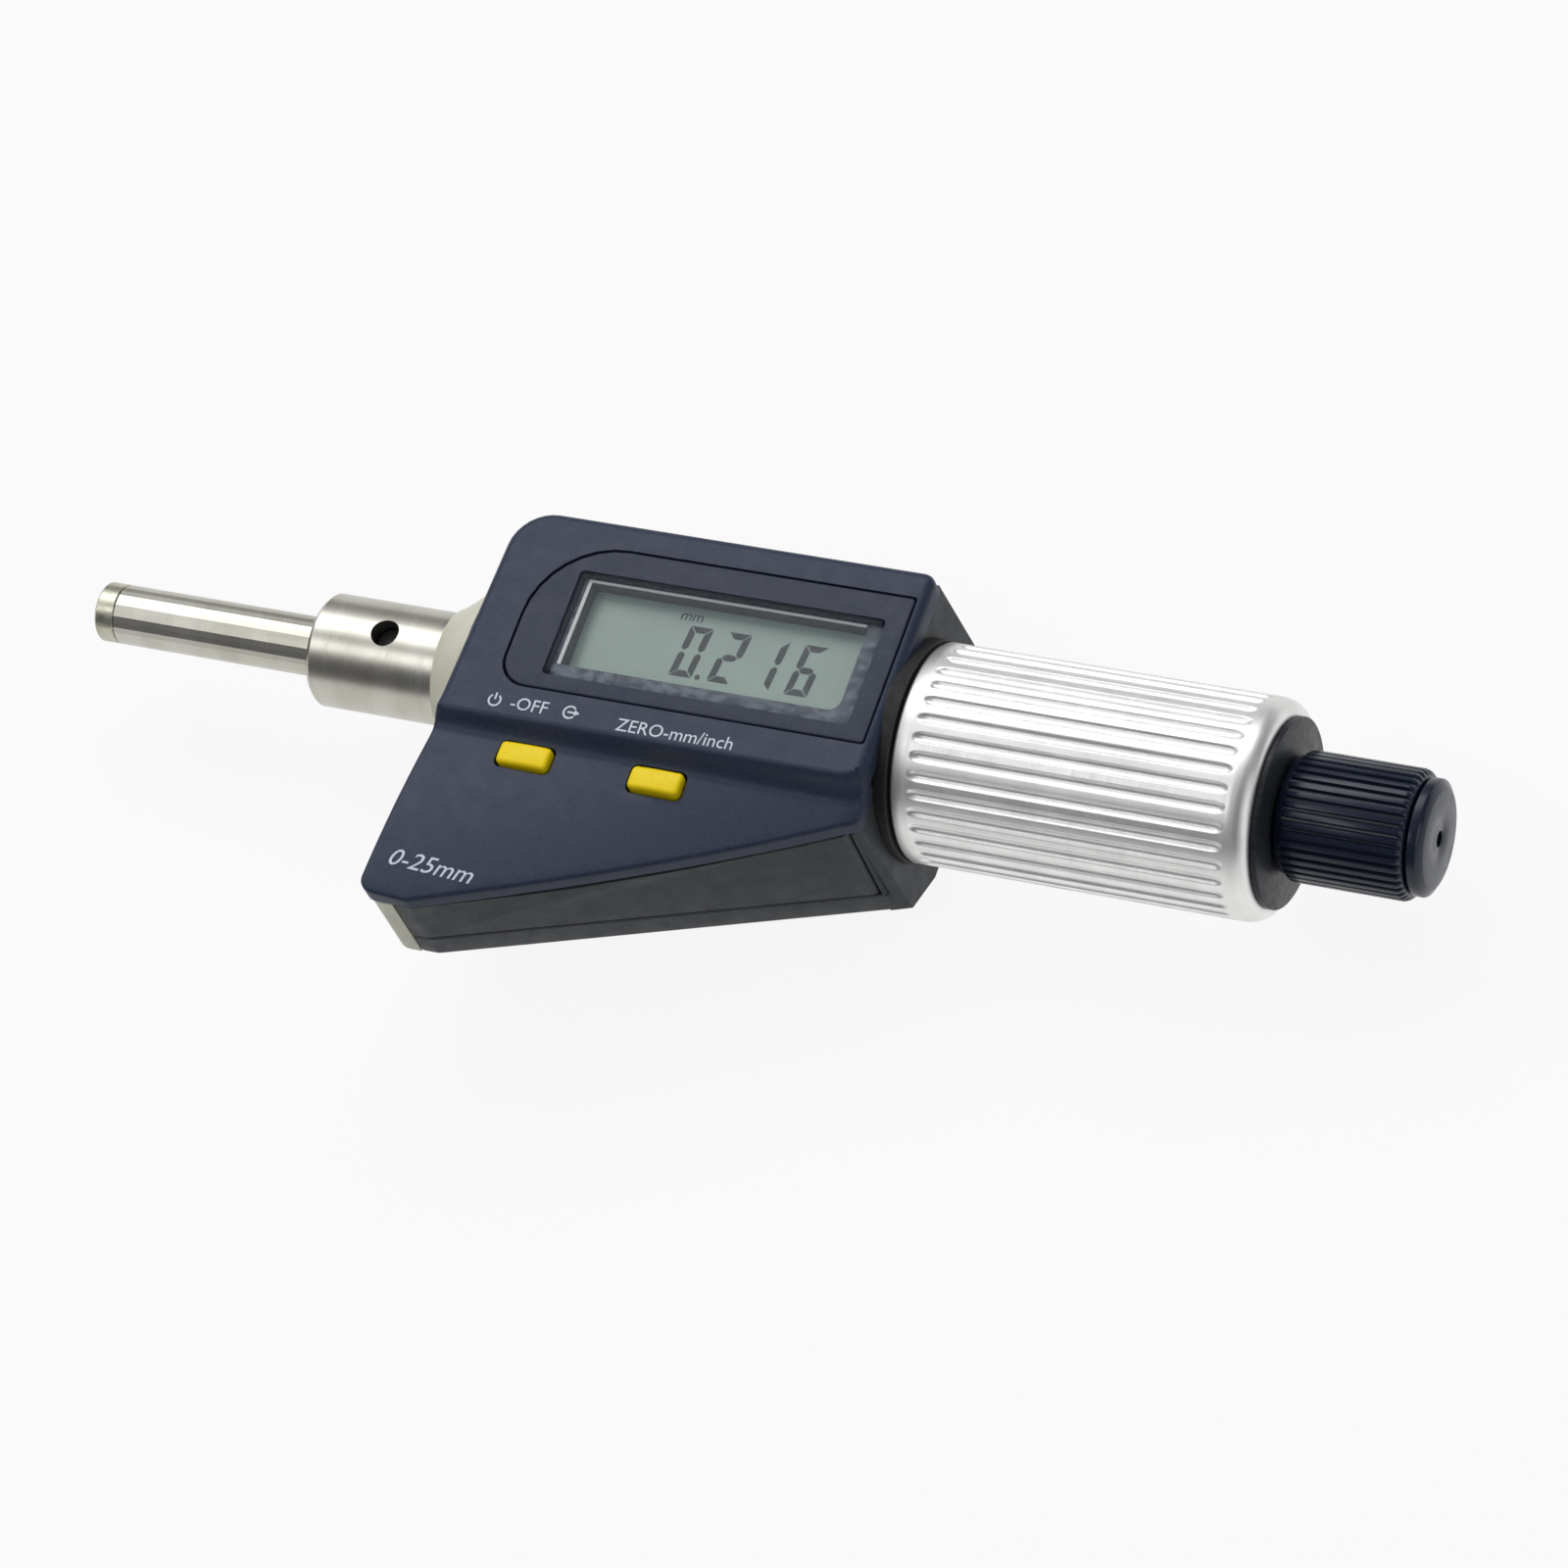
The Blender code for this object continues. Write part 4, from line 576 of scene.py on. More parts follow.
# %% End disc
disc_low, disc_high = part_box("thimble_end_disc")
disc_r = disc_high.z
disc_hole_r = 1.75 * mm
disc_edge = 0.15 * mm
disc_skin = turned_skin("end_disc", [
    (disc_low.x, disc_hole_r), (disc_low.x, disc_r), (disc_high.x - disc_edge, disc_r),
    (disc_high.x - 0.04 * mm, disc_r - 0.05 * mm), (disc_high.x, disc_r - disc_edge),
    (disc_high.x, disc_hole_r)], large_round, black_anodised)
settle(disc_skin, "spindle", "black_disc", "thimble_end_disc")

# %% [markdown]
# The ratchet knob is moulded with forty straight ribs and a plain collar at its root. Each rib is a
# flat top with sloping sides, so eight directions for a rib are enough to shape it.

# %% Ribbed ratchet knob
knob_low, knob_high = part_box("ratchet_knob")
knob_start, knob_end = knob_low.x, knob_high.x
rib_count = 40
rib_r = 6.65 * mm
root_r = 6.2 * mm
collar_r = 6.0 * mm
collar_end = knob_start + 0.8 * mm
knob_hole_r = 1.9 * mm
knob_cup_r = 5.0 * mm
knob_floor = knob_start + 1.4 * mm
rib_steps = [(-0.5, 0), (-0.37, 0.04), (-0.31, 0.5), (-0.25, 0.96), (0, 1.0), (0.25, 0.96), (0.31, 0.5),
             (0.37, 0.04)]
knob_columns = [2 * math.pi * (i + part) / rib_count
                for i in range(rib_count) for part, height in rib_steps]
rib_heights = [height for part, height in rib_steps] * rib_count


def ribbed(root, top):
    """Radius in each direction between the root and the top of the ribs."""
    return [root + (top - root) * height for height in rib_heights]


knob_skin = turned_skin("ribbed_knob", [
    (knob_start, knob_hole_r), (knob_start, collar_r - 0.15 * mm), (knob_start + 0.15 * mm, collar_r),
    (collar_end, collar_r), (knob_start + 0.82 * mm, ribbed(root_r, root_r + 0.08 * mm)),
    (knob_start + 1.0 * mm, ribbed(root_r, rib_r - 0.14 * mm)),
    (knob_start + 1.3 * mm, ribbed(root_r, rib_r)), (knob_end - 0.75 * mm, ribbed(root_r, rib_r)),
    (knob_end - 0.4 * mm, ribbed(root_r, rib_r - 0.16 * mm)),
    (knob_end - 0.12 * mm, ribbed(root_r - 0.05 * mm, root_r)), (knob_end, root_r - 0.25 * mm),
    (knob_end, knob_cup_r), (knob_floor, knob_cup_r), (knob_floor, knob_hole_r)],
    knob_columns, knob_black, 50)
settle(knob_skin, "ratchet", "knob_plastic", "ratchet_knob")

# %% [markdown]
# A cap closes the knob. Its small hole takes the pin of a hook spanner, and its rim is chamfered. The
# profile is a list of points in millimetres: how far behind the end, and how far from the axis.

# %% Knob cap
cap_low, cap_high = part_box("ratchet_cap")
plug_r = 4.85 * mm
pin_hole = [(0.9, 0), (0.9, 0.82), (0.1, 0.82), (0, 0.95)]
cap_face = [(0.02, 3.0), (0, 4.9), (0.05, 5.08)]
cap_rim = [(0.5, 5.85), (0.66, 5.95), (1.4, 5.95), (1.5, 5.85), (1.5, plug_r / mm)]
cap_stations = [(cap_high.x - behind * mm, r * mm) for behind, r in pin_hole + cap_face + cap_rim]
cap_skin = turned_skin("knob_cap", cap_stations + [(cap_low.x, plug_r), (cap_low.x, 0)], small_round,
                       knob_black, 40)
settle(cap_skin, "ratchet", "knob_plastic", "ratchet_cap")

# %% [markdown]
# The stem is the smooth tube by which the head is clamped in a fixture. The small hole on top is
# probably there for a drop of oil. The tube is swept with close rings, and the hole is cut by a
# Boolean, because a hole through a round wall is what a Boolean does best.

# %% Clamping stem
def carved(piece, *cutters):
    """Cuts closed shapes out of a piece for good, and shades it again."""
    for cutter in cutters:
        knife = piece.modifiers.new(cutter.name, "BOOLEAN")
        knife.operation = "DIFFERENCE"
        knife.object = cutter
        knife.solver = "EXACT"
    shape = bpy.data.meshes.new_from_object(piece.evaluated_get(bpy.context.evaluated_depsgraph_get()))
    piece.modifiers.clear()
    piece.data = shape
    for cutter in cutters:
        bpy.data.objects.remove(cutter, do_unlink=True)
    shape.shade_smooth()
    shape.set_sharp_from_angle(angle=math.radians(32))


stem_low, stem_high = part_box("stem_sleeve")
stem_r = stem_high.z
bore_r = 3.475 * mm
seal_r = 4.85 * mm
seal_end = stem_low.x + 2.3 * mm
stem_edge = 0.5 * mm
stem_runs = 24
stem_run = stem_high.x - stem_low.x - stem_edge
stem_rings = [(stem_low.x + stem_edge + stem_run * i / stem_runs, stem_r) for i in range(stem_runs + 1)]
stem_skin = turned_skin("clamping_stem", [
    (stem_high.x, bore_r), (seal_end, bore_r), (seal_end, seal_r), (stem_low.x, seal_r),
    (stem_low.x, stem_r - stem_edge), (stem_low.x + 0.04 * mm, stem_r - 0.42 * mm)] + stem_rings,
    large_round, ground_steel)
hole_x = stem_low.x + 8.5 * mm
hole_r = 1.55 * mm
drill = turned_skin("stem_hole", [(-9 * mm, 0), (-9 * mm, hole_r), (9 * mm, hole_r), (9 * mm, 0)], even(48),
                    ground_steel)
drill.matrix_world = Matrix.Translation((hole_x, 0, 9.2 * mm)) @ Matrix.Rotation(math.pi / 2, 4, "Y")
bpy.context.view_layer.update()
carved(stem_skin, drill)
settle(stem_skin, "housing", "brushed_steel", "stem_sleeve")

# %% [markdown]
# A black plug sits in the oil hole. Its black is painted shade for the dark hole, and a felt that holds the
# oil and keeps dirt out is only a guess at what lies there. It is turned along X like everything round, and
# then stood upright, point by point, just clear of the spindle.

# %% Painted shade plug in the oil hole
shade_plug_foot = 3.52 * mm
shade_plug = turned_skin("oil_hole_shade", [
    (0, 0), (0, 1.35 * mm), (0.1 * mm, 1.45 * mm), (0.5 * mm, 1.45 * mm), (0.6 * mm, 1.35 * mm),
    (0.6 * mm, 0)], even(40), rubber_and_shade_black)
for vert in shade_plug.data.vertices:
    x, y, z = vert.co
    vert.co = (hole_x + z, y, shade_plug_foot + x)
settle(shade_plug, "housing", "rubber")

# %% [markdown]
# The lid is one moulding: a flat panel with the display, a crease, and under it a shallow dish that
# carries the buttons. It starts as an outline, which is a row of corners with arcs. A curve with
# bevelled corners could hold it, but plain points can be moved inward later to roll the rim.

# %% Outline of the housing
def rounded(corners, step=0.7 * mm, arc_steps=8):
    """A dense outline through (x, y, radius) corners, with an arc at each."""
    points = []
    for i, (x, y, radius) in enumerate(corners):
        here = Vector((x, y))
        back = (Vector(corners[i - 1][:2]) - here).normalized()
        ahead = (Vector(corners[(i + 1) % len(corners)][:2]) - here).normalized()
        half_angle = math.acos(max(-1.0, min(1.0, back.dot(ahead)))) / 2
        centre = here + (back + ahead).normalized() * (radius / math.sin(half_angle))
        start = here + back * (radius / math.tan(half_angle)) - centre
        end = here + ahead * (radius / math.tan(half_angle)) - centre
        sweep = start.angle_signed(end)
        for k in range(arc_steps + 1):
            turn = -sweep * k / arc_steps
            points.append(centre + Matrix.Rotation(turn, 2) @ start)
    dense = []
    for i, point in enumerate(points):
        after = points[(i + 1) % len(points)]
        pieces = max(1, round((after - point).length / step))
        dense += [point.lerp(after, k / pieces) for k in range(pieces)]
    return dense


left_x = 46.1 * mm
length = 48.3 * mm
right_x = left_x + length
top_y = 14.3 * mm
bottom_y = -31.7 * mm
foot = 5.3 * mm
right_bottom = -13.3 * mm
housing_outline = rounded([
    (left_x + 1.5 * mm, top_y, 4.6 * mm), (left_x, bottom_y, 1.5 * mm), (left_x + foot, bottom_y, 1.5 * mm),
    (right_x, right_bottom, 1.4 * mm), (right_x, top_y, 1.4 * mm)])
print("outline of", len(housing_outline), "points")

# %% [markdown]
# The lid's face is a height for every x and y. Going down from the panel, the lip of the crease rolls
# over, a cove runs out into the dish, and the dish swells at its left end and falls away at its right.
# A subdivision surface could give this form too, but a height can be asked for at any point, and the
# buttons and the lettering need that.

# %% Height of the face
panel_z = 11.6 * mm
crease_y = -10.1 * mm
crease_run = 2.2 * mm
cove_power = 2.2
dish_left = 1.6 * mm
dish_right = 2.7 * mm
swell_left = 1.4 * mm
swell_reach = 16.0 * mm
fall_right = -0.30
lip_round = 0.45 * mm
lip_turn = right_x - 2.6 * mm
lip_rise = 1.3 * mm
soft_join = 1.3 * mm


def face_z(x, y):
    """Height of the lid's face: the flat panel, the crease and the dish."""
    turn_up = max(0.0, x - lip_turn)
    run = crease_y - y + lip_rise * (turn_up / (right_x - lip_turn)) ** 2
    if run <= -lip_round:
        return panel_z
    along = (x - left_x) / length
    low = panel_z - dish_left + (dish_left - dish_right) * along
    if run < lip_round:
        drop = (panel_z - low) * (1 - (1 - lip_round / crease_run) ** cove_power)
        slope = (panel_z - low) * cove_power / crease_run * (1 - lip_round / crease_run) ** (cove_power - 1)
        over = (run + lip_round) / (2 * lip_round)
        eased = 3 * over ** 2 - 2 * over ** 3
        return panel_z - drop * eased - slope * 2 * lip_round * (over ** 3 - over ** 2)
    cove = (panel_z - low) * max(0.0, 1 - run / crease_run) ** cove_power
    beyond = run - crease_run
    if beyond < -soft_join:
        return low + cove
    if beyond < soft_join:
        beyond = (beyond + soft_join) ** 2 / (4 * soft_join)
    swell = swell_left * (1 - (beyond / swell_reach - 1) ** 2)
    return low + cove + swell * (1 - along) + fall_right * beyond * along


print("panel at", round(face_z(left_x, 0.0) / mm, 2), "mm")

# %% [markdown]
# The lid is a shell. Its lower edge is level under the panel, and under the dish it stays a wall's
# thickness below the face, read a little further down the slope so that the wall isn't thin at the
# crease. One level underside would be simpler, but the dish would break through it.

# %% Lower edge of the lid and places of the buttons
lid_foot = 9.0 * mm
lid_wall = 1.6 * mm
wall_shift = 0.8 * mm


def under_z(x, y):
    """Height of the lid's lower edge."""
    if y > crease_y + wall_shift:
        return lid_foot
    return min(lid_foot, face_z(x, y - wall_shift) - lid_wall)


button_places = (57.8 * mm, 72.4 * mm)
button_y = -13.3 * mm
print("dish at the buttons:", [round(face_z(x, button_y) / mm, 2) for x in button_places], "mm")

# %% [markdown]
# A soft plate is a plate with a rolled upper rim. Rings of points climb round the rim, and the top and
# the bottom are cut into a fine grid whose points are then set to the face's height. A bevel modifier
# can roll a rim as well, but this rim has to change its width on the way round the lid.

# %% Soft plate
def inward(outline):
    """The direction into the outline at each of its points."""
    into = []
    for i in range(len(outline)):
        along = (outline[(i + 1) % len(outline)] - outline[i - 1]).normalized()
        into.append(Vector((-along.y, along.x)))
    return into


rim_rings = 6


def soft_plate(name, outline, low_z, high_z, rim, cuts_x, cuts_y, finish_on_it, sharp=32):
    """A plate in an outline, with a rounded upper rim, rim(x, y) wide, and a face at high_z(x, y)."""
    bm = bmesh.new()
    into = inward(outline)
    loops = [[bm.verts.new((p.x, p.y, low_z(p.x, p.y))) for p in outline]]
    for k in range(rim_rings + 1):
        turn = math.pi / 2 * k / rim_rings
        ring = []
        for p, direction in zip(outline, into):
            wide = rim(p.x, p.y)
            spot = p + direction * wide * (1 - math.cos(turn))
            ring.append(bm.verts.new((spot.x, spot.y, high_z(spot.x, spot.y) - wide * (1 - math.sin(turn)))))
        loops.append(ring)
    count = len(outline)
    for near, far in zip(loops, loops[1:]):
        for i in range(count):
            j = (i + 1) % count
            bm.faces.new((near[i], near[j], far[j], far[i]))
    for ring, height in ((loops[-1], high_z), (loops[0], low_z)):
        faces = [bm.faces.new(ring)]
        for axis, cuts in ((0, cuts_x), (1, cuts_y)):
            for place in cuts:
                point = Vector((0, 0, 0))
                point[axis] = place
                normal = Vector((0, 0, 0))
                normal[axis] = 1
                edges = list({e for f in faces for e in f.edges})
                verts = list({v for f in faces for v in f.verts})
                split_up = bmesh.ops.bisect_plane(bm, geom=faces + edges + verts, plane_co=point,
                                                  plane_no=normal, dist=1e-7)
                faces = [f for f in split_up["geom"] if isinstance(f, bmesh.types.BMFace)]
        for vert in {v for f in faces for v in f.verts}:
            vert.co.z = height(vert.co.x, vert.co.y)
    return skin(name, bm, finish_on_it, sharp)


print("a soft rim has", rim_rings, "steps")

# %% [markdown]
# The lid's grid is finest where its form turns: along the crease, and where the crease turns up at its
# right end. Its rim is full round the panel and crisper round the dish.

# %% Moulded lid
def every(start, end, step):
    """Places from a start to an end, a step apart."""
    return [start + step * i for i in range(1, int(round((end - start) / step)))]


cove_end = crease_y - crease_run
lid_cuts_x = every(left_x, lip_turn, 2.4 * mm) + every(lip_turn, right_x, 0.3 * mm)
lid_cuts_y = every(bottom_y, cove_end, 1.2 * mm) + every(cove_end, crease_y + 1.8 * mm, 0.15 * mm)
lid_cuts_y += [cove_end, -2 * mm, 6 * mm]


def lid_rim(x, y):
    """Width of the lid's rounded rim: full round the panel, crisper round the dish."""
    climb = min(1.0, max(0.0, (y - crease_y + 1.5 * mm) / (3.5 * mm)))
    return (0.45 + 0.6 * climb * climb * (3 - 2 * climb)) * mm


lid = soft_plate("moulded_lid", housing_outline, under_z, face_z, lid_rim, lid_cuts_x, lid_cuts_y,
                 blue_grey, 40)
print("lid has", len(lid.data.polygons), "faces before its openings")

# %% [markdown]
# Openings are cut with a Boolean, and it needs closed shapes to cut with. A scaled cube would do for a
# square hole, but here each corner has a radius of its own, so the shapes are flat plates that are
# made from outlines.

# %% Plates and outlines of four corners
def flat_shape(bm, points, low, high):
    """Adds a thin closed plate through points to a bmesh."""
    bottom = [bm.verts.new((x, y, low)) for x, y in points]
    top = [bm.verts.new((x, y, high)) for x, y in points]
    bm.faces.new(bottom)
    bm.faces.new(top)
    for i in range(len(points)):
        j = (i + 1) % len(points)
        bm.faces.new((bottom[i], bottom[j], top[j], top[i]))


def plain_plate(name, outline, low, high, finish_on_it):
    """A plate in an outline with square edges."""
    bm = bmesh.new()
    flat_shape(bm, [(p.x, p.y) for p in outline], low, high)
    return skin(name, bm, finish_on_it)


def four_corners(left, low, right_side, high, radii, step=2.0 * mm):
    """An outline of four corners; radii go round from the upper left."""
    return rounded([(left, high, radii[0]), (left, low, radii[1]), (right_side, low, radii[2]),
                    (right_side, high, radii[3])], step)


print("such an outline has", len(four_corners(0, 0, mm, mm, (0.2 * mm,) * 4)), "points or more")

# %% [markdown]
# The lid gets a pocket for the display's bezel, a hole behind it for the window, and two holes for the
# buttons. The cuts use the outlines of the parts that sit in them, so the bezel gets an even gap of
# 0.2 mm and the buttons one of 0.3 mm.

# %% Openings in the lid
def bezel_outline(inset):
    """Outline of the display's bezel with its round left end."""
    return four_corners(52.5 * mm + inset, -6.0 * mm + inset, 93.15 * mm - inset, 10.8 * mm - inset,
                        (9.0 * mm, 3.2 * mm, 0.4 * mm, 0.4 * mm))


button_half_x = 2.85 * mm
button_half_y = 1.3 * mm


def button_outline(x, inset):
    """Outline of a button."""
    half_x = button_half_x - inset
    half_y = button_half_y - inset
    corner = (0.55 * mm - inset,) * 4
    return four_corners(x - half_x, button_y - half_y, x + half_x, button_y + half_y, corner, 0.5 * mm)


cut_gap = 0.3 * mm
above = 14 * mm
window_opening = four_corners(57.7 * mm, -2.9 * mm, 89.4 * mm, 7.6 * mm, (0.3 * mm,) * 4)
cutters = [plain_plate("pocket_cutter", bezel_outline(-cut_gap), 10.1 * mm, above, blue_grey),
           plain_plate("window_cutter", window_opening, 5 * mm, 13 * mm, blue_grey)]
cutters += [plain_plate(f"button_cutter_{i}", button_outline(x, -cut_gap), 4 * mm, above, blue_grey)
            for i, x in enumerate(button_places)]
carved(lid, *cutters)
settle(lid, "housing", "shell_plastic", "front_shell")

# %% [markdown]
# The bezel is a separate insert that frames the window. It could be a groove drawn on the lid, but a
# piece of its own has a true seam, which shows as a fine dark line, and a rim that is broken just
# enough to catch the light.

# %% Bezel
def level_at(amount):
    """The same height, or the same rim, at every place."""
    return lambda x, y: amount


bezel_back = 10.4 * mm
bezel = soft_plate("bezel_insert", bezel_outline(-0.1 * mm), level_at(bezel_back), level_at(panel_z),
                   level_at(0.18 * mm), [], [], bezel_blue)
window_area = (57.0 * mm, -4.3 * mm, 90.9 * mm, 7.9 * mm)


def moved_in(area, inset):
    """An area of left, low, right and high, moved in from its four sides."""
    return area[0] + inset, area[1] + inset, area[2] - inset, area[3] - inset


def window_outline(inset):
    """Outline of the window, moved in from its sides."""
    return four_corners(*moved_in(window_area, inset), (0.5 * mm,) * 4)


carved(bezel, plain_plate("bezel_cutter", window_outline(-0.12 * mm), 5 * mm, above, blue_grey))
settle(bezel, "housing", "shell_plastic", "display_bezel")

# %% [markdown]
# The window is a thick acrylic block. Under it a printed mask hides the rim of the display, and a liner lines
# the opening down to the glass; its dark grey is painted shade on the opening's inner walls. A thin
# near-white strip is a painted highlight: it stands for the light on the polished edge of the opening, the
# bright line along the upper and left sides of the display. It could be left to reflection, but at this size
# only a thin pale strip shows it from every side.

# %% Window
window = soft_plate("acrylic_window", window_outline(0.0), level_at(10.45 * mm), level_at(11.75 * mm),
                    level_at(0.4 * mm), [], [], clear_acrylic)
settle(window, "housing", "clear_window", "lens_window")


def open_frame(name, outer, inner, low, high, finish_on_it):
    """A flat frame between two outlines of four corners, its lower right corner well rounded."""
    made = plain_plate(name, four_corners(*outer, (0.3 * mm,) * 4), low, high, finish_on_it)
    hole = four_corners(*inner, (0.25 * mm, 0.25 * mm, 1.3 * mm, 0.25 * mm), 0.5 * mm)
    carved(made, plain_plate(f"{name}_cutter", hole, low - mm, high + mm, finish_on_it))
    return made


seen_area = (58.0 * mm, -2.5 * mm, 88.95 * mm, 7.3 * mm)
mask = open_frame("window_mask_print", moved_in(window_area, 0.2 * mm), seen_area, 10.36 * mm, 10.42 * mm,
                  window_mask)
settle(mask, "housing", "shell_plastic")
# The liner's dark grey is painted shade on the opening's inner walls.
wall_area = (57.72 * mm, -2.88 * mm, 89.38 * mm, 7.58 * mm)
wall = open_frame("opening_painted_shade", wall_area, seen_area, 8.75 * mm, 10.35 * mm, window_painted_shade)
settle(wall, "housing", "shell_plastic")

# The near-white strip is a painted highlight on the polished edge of the opening.
strip_points = [(57.55, -2.45), (57.6, 7.68), (88.7, 7.68), (88.7, 7.38), (57.98, 7.38), (57.95, -2.45)]
strip = bmesh.new()
flat_shape(strip, [(x * mm, y * mm) for x, y in strip_points], 10.425 * mm, 10.445 * mm)
settle(skin("window_edge_painted_highlight", strip, edge_painted_highlight), "housing", "clear_window")

# %% [markdown]
# The display is a flat glass cell. It lies low in the opening, and that depth shows when the head is
# seen from the side. A picture on the window would be simpler, but it would look painted on.

# %% Display cell
panel_top = 8.7 * mm
display_outline = four_corners(57.6 * mm, -3.4 * mm, 89.8 * mm, 8.1 * mm, (0.2 * mm,) * 4)
display = soft_plate("display_cell", display_outline, level_at(8.0 * mm), level_at(panel_top),
                     level_at(0.05 * mm), every(58 * mm, 89 * mm, 4 * mm), [0.0, 4 * mm], display_glass)
settle(display, "housing", "display_glass", "lcd_panel")

# %% [markdown]
# Its digits are seven-segment bars, each a flat shape with mitred ends, leaning a little to the right.
# A font could give digits, but not the gaps between the bars that make a display look like one.

# %% Digits
wide = 2.55 * mm
tall = 5.95 * mm
lean = 0.092
stroke = 0.74 * mm
gap = 0.08 * mm
half, slim = tall / 2, stroke / 2
upper_left = [(0, tall - gap), (stroke, tall - stroke - gap), (stroke, half + slim + gap), (slim, half + gap),
              (0, half + slim)]
bars = {
    "top": [(gap, tall), (wide - gap, tall), (wide - stroke - gap, tall - stroke),
            (stroke + gap, tall - stroke)],
    "middle": [(slim + gap, half), (stroke + gap, half + slim), (wide - stroke - gap, half + slim),
               (wide - slim - gap, half), (wide - stroke - gap, half - slim), (stroke + gap, half - slim)],
    "upper_left": upper_left,
    "upper_right": [(wide - x, y) for x, y in upper_left],
    "lower_left": [(x, tall - y) for x, y in upper_left],
    "lower_right": [(wide - x, tall - y) for x, y in upper_left],
    "bottom": [(gap, 0), (wide - gap, 0), (wide - stroke - gap, stroke), (stroke + gap, stroke)],
}
lit = {
    "0": ("top", "upper_left", "upper_right", "lower_left", "lower_right", "bottom"),
    "1": ("upper_right", "lower_right"),
    "2": ("top", "upper_right", "middle", "lower_left", "bottom"),
    "6": ("top", "upper_left", "middle", "lower_left", "lower_right", "bottom"),
}
bar_low = panel_top + 0.01 * mm
bar_high = panel_top + 0.03 * mm


def digit_bars(bm, figure, x, y):
    """Adds the lit bars of one figure, whose lower left corner is at x, y."""
    for bar in lit[figure]:
        flat_shape(bm, [(x + px + lean * py, y + py) for px, py in bars[bar]], bar_low, bar_high)


first_digit = 68.95
digit_pitch = 4.28
point_r = 0.3 * mm
digits = bmesh.new()
for place, figure in enumerate("0216"):
    digit_bars(digits, figure, (first_digit + digit_pitch * place) * mm, -0.72 * mm)
point_x, point_y = 72.15 * mm, -0.5 * mm
flat_shape(digits, [(point_x + point_r * math.cos(a), point_y + point_r * math.sin(a)) for a in even(12)],
           bar_low, bar_high)
settle(skin("display_digits", digits, display_ink), "housing", "display_glass")

# %% [markdown]
# The words beside the buttons are pad-printed. They are made as text, turned into a mesh, and each
# point is then dropped onto the face, so the print follows the dish like real ink.

# %% Printed words
def printed(name, words, size, x, y, slant=0.0, height=face_z, ink=lettering):
    """Words that lie on the face, from their lower left corner."""
    text = bpy.data.curves.new(name, "FONT")
    text.body = words
    text.size = size
    text.shear = slant
    text.extrude = 0.012 * mm
    text.resolution_u = 3
    writer = bpy.data.objects.new(name, text)
    bpy.context.scene.collection.objects.link(writer)
    shape = bpy.data.meshes.new_from_object(writer.evaluated_get(bpy.context.evaluated_depsgraph_get()))
    bpy.data.objects.remove(writer, do_unlink=True)
    bm = bmesh.new()
    bm.from_mesh(shape)
    bmesh.ops.triangulate(bm, faces=bm.faces)
    for vert in bm.verts:
        vert.co.x += x
        vert.co.y += y
        vert.co.z += height(vert.co.x, vert.co.y) + 0.02 * mm
    made = skin(name, bm, ink)
    width = max(v.co.x for v in made.data.vertices) - min(v.co.x for v in made.data.vertices)
    print(words, "is", round(width / mm, 2), "mm wide")
    return made


settle(printed("left_print", "-OFF", 2.05 * mm, 54.9 * mm, -9.0 * mm), "housing", "shell_plastic")
settle(printed("right_print", "ZERO-mm/inch", 2.05 * mm, 67.0 * mm, -9.4 * mm), "housing", "shell_plastic")
settle(printed("range_print", "0-25mm", 2.7 * mm, 48.1 * mm, -28.3 * mm, 0.3), "housing", "shell_plastic")
settle(printed("unit_print", "mm", 1.7 * mm, 67.9 * mm, 5.75 * mm, 0.1, level_at(panel_top - 0.01 * mm),
               display_ink), "housing", "display_glass")

# %% [markdown]
# Two signs stand beside the left word: one for power, and a ring with an arrow. They aren't in every
# font, so they are drawn as rings of ink that are left open, with a short bar or an arrow.

# %% Printed signs
ink_low = panel_z + 0.005 * mm
ink_high = panel_z + 0.03 * mm


def ring_print(name, x, y, radius, first, last, bar_up=False):
    """An open ring of ink between two angles in degrees, with a short bar for a power sign."""
    bm = bmesh.new()
    count = 20
    width = 0.2 * mm
    turns = [math.radians(first) + math.radians(last - first) * i / count for i in range(count + 1)]
    outer = [(x + radius * math.cos(t), y + radius * math.sin(t)) for t in turns]
    inner = [(x + (radius - width) * math.cos(t), y + (radius - width) * math.sin(t)) for t in turns]
    flat_shape(bm, outer + inner[::-1], ink_low, ink_high)
    if bar_up:
        side = width / 2
        bar_foot, bar_head = y + 0.1 * mm, y + radius * 1.15
        flat_shape(bm, [(x - side, bar_foot), (x + side, bar_foot), (x + side, bar_head),
                        (x - side, bar_head)], ink_low, ink_high)
    return skin(name, bm, lettering)


power_symbol = ring_print("power_symbol", 53.1 * mm, -8.35 * mm, 0.75 * mm, 125, 415, True)
settle(power_symbol, "housing", "shell_plastic")
round_symbol = ring_print("round_symbol", 61.6 * mm, -8.3 * mm, 0.78 * mm, 40, 320)
settle(round_symbol, "housing", "shell_plastic")
arrow = bmesh.new()
arrow_points = [(61.35, -8.2), (62.1, -8.2), (62.1, -7.95), (62.7, -8.3), (62.1, -8.65), (62.1, -8.4),
                (61.35, -8.4)]
flat_shape(arrow, [(x * mm, y * mm) for x, y in arrow_points], ink_low, ink_high)
settle(skin("round_symbol_arrow", arrow, lettering), "housing", "shell_plastic")

# %% [markdown]
# The buttons are hard yellow plastic with soft rims. Each is a small soft plate with a slightly
# crowned face, and it keeps the CAD's flange under the lid as a second plate.

# %% Buttons
crown = 0.12 * mm


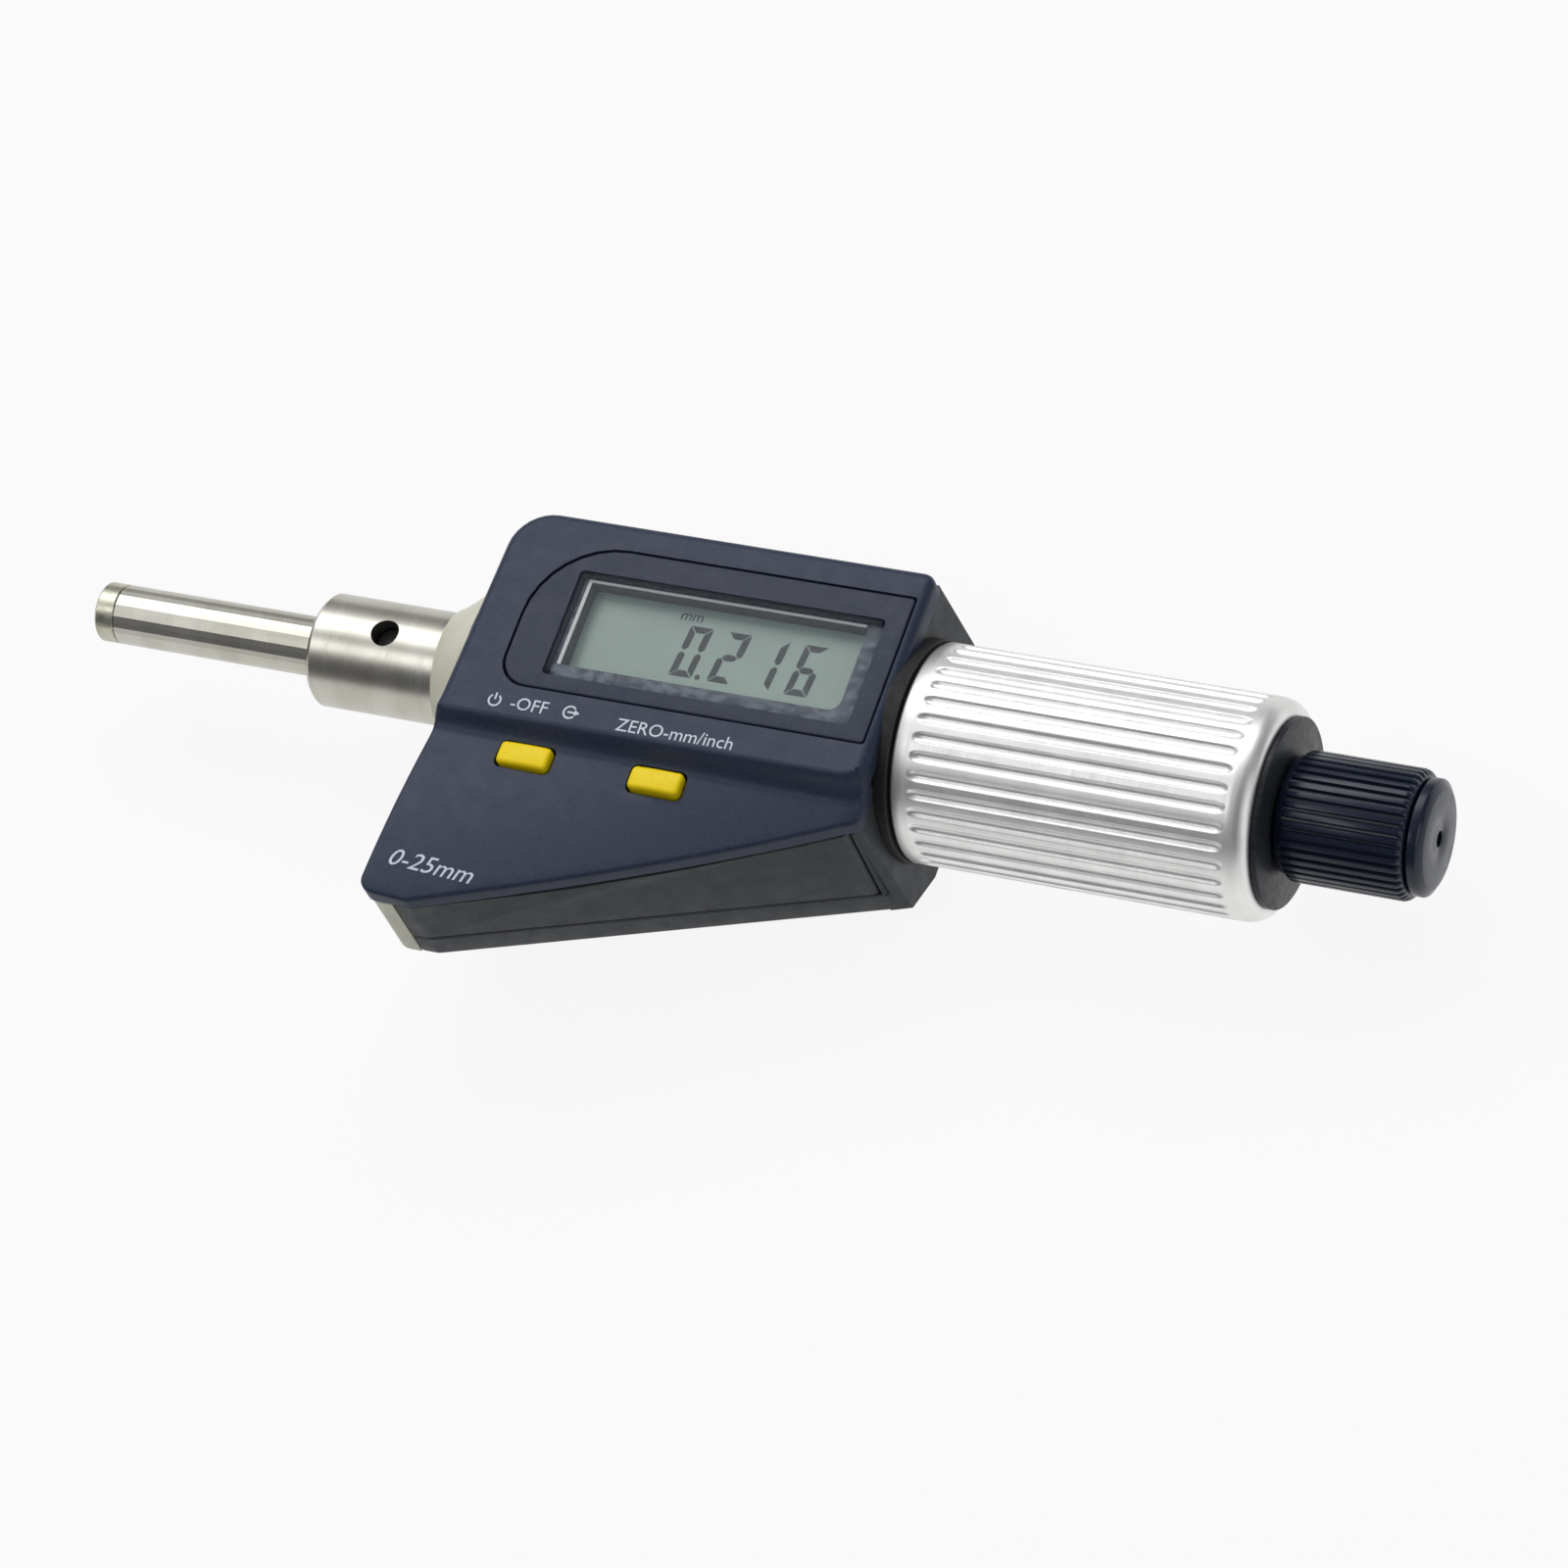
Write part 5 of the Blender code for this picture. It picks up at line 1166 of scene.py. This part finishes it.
def crowned(x, top):
    """The crowned face of a button whose middle is at x, top at its highest."""
    def face(px, py):
        return top - crown * (((px - x) / button_half_x) ** 2 + ((py - button_y) / button_half_y) ** 2)
    return face


for name, x in zip(("set_button", "unit_button"), button_places):
    box_low, box_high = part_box(name)
    cuts_x = every(x - 2.8 * mm, x + 2.8 * mm, 0.7 * mm)
    cuts_y = every(button_y - 1.2 * mm, button_y + 1.2 * mm, 0.4 * mm)
    cap = soft_plate(f"{name}_cap", button_outline(x, 0.0), level_at(box_low.z + 0.05 * mm),
                     crowned(x, box_high.z), level_at(0.42 * mm), cuts_x, cuts_y, yellow, 50)
    flange = soft_plate(f"{name}_flange", button_outline(x, -0.6 * mm), level_at(box_low.z),
                        level_at(box_low.z + 0.4 * mm), level_at(0.1 * mm), [], [], yellow)
    settle(cap, name, "button_yellow", name)
    settle(flange, name, "button_yellow")

# %% [markdown]
# Behind the lid lie the side frame, the rear cover and the casting. Their forms come straight from
# the CAD. Each is copied, its flat faces are joined again, and its edges are broken by a tenth or so,
# because no moulding has a knife edge and that thin highlight is what the eye looks for.

# %% Frame, cover and casting
def cell_copy(name, node, finish_on_it, edge):
    """A copy of a CAD node with merged faces and slightly broken edges."""
    bm = bmesh.new()
    bm.from_mesh(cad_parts[node].data)
    bmesh.ops.remove_doubles(bm, verts=bm.verts, dist=0.001 * mm)
    bmesh.ops.dissolve_limit(bm, angle_limit=math.radians(0.4), verts=bm.verts, edges=bm.edges)
    made = skin(name, bm, finish_on_it)
    broken = made.modifiers.new("broken_edges", "BEVEL")
    broken.width = edge
    broken.segments = 2
    broken.limit_method = "ANGLE"
    broken.angle_limit = math.radians(35)
    broken.harden_normals = True
    return made


settle(cell_copy("side_frame", "mid_frame", dark_grey, 0.12 * mm), "housing", "cover_plastic", "mid_frame")
settle(cell_copy("back_cover", "rear_cover", dark_grey, 0.12 * mm), "housing", "cover_plastic", "rear_cover")
settle(cell_copy("enamelled_casting", "chassis", cream_enamel, 0.2 * mm), "housing", "cream_paint", "chassis")
settle(cell_copy("coin_cap", "battery_cap", dark_grey, 0.1 * mm), "battery_cap", "cover_plastic",
       "battery_cap")
for i in range(1, 5):
    screw = cell_copy(f"pan_screw_{i}", f"rear_screw_{i}", ground_steel, 0.08 * mm)
    settle(screw, "housing", "brushed_steel", f"rear_screw_{i}")

# %% [markdown]
# A black ring lines the seat where the thimble meets the housing. It is painted shade: it stands for the
# dark, shadowed gap round the thimble's foot. It could be painted on the seat, but a ring has a true edge.

# %% Painted shade ring at the seat
seat_x = 95.5 * mm
ring_back = seat_x - 1.55 * mm
ring_front = seat_x + 0.03 * mm
ring_r = 11.5 * mm
ring_outer_r = ring_r + 0.03 * mm
ring_hole_r = 8.6 * mm
seat_shade_ring = turned_skin("seat_shade_ring", [
    (ring_back, ring_outer_r), (seat_x - 0.12 * mm, ring_outer_r), (ring_front, ring_r - 0.12 * mm),
    (ring_front, ring_hole_r), (ring_back, ring_hole_r)], large_round, rubber_and_shade_black)
settle(seat_shade_ring, "housing", "rubber")

# %% [markdown]
# What stays inside keeps its CAD solid and only gets its finish: it shows when the head is taken
# apart, or when the thimble runs out and bares the sleeve.

# %% Finishes for the inner parts
inner_finishes = {
    "inner_sleeve": ground_steel, "adjusting_nut": ground_steel, "rotor_bracket": ground_steel,
    "ratchet_plate": ground_steel, "ratchet_spring": ground_steel, "ratchet_bolt": ground_steel,
    "battery": ground_steel, "lcd_connector": rubber_and_shade_black, "button_pad": rubber_and_shade_black,
    "battery_cap_seal": rubber_and_shade_black, "circuit_board": circuit_green, "encoder_stator": circuit_green,
    "encoder_rotor": brass, "battery_contact": brass,
}
for name, finish_on_it in inner_finishes.items():
    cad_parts[name].data.materials[0] = finish_on_it
print("finished inside:", len(inner_finishes), "nodes")
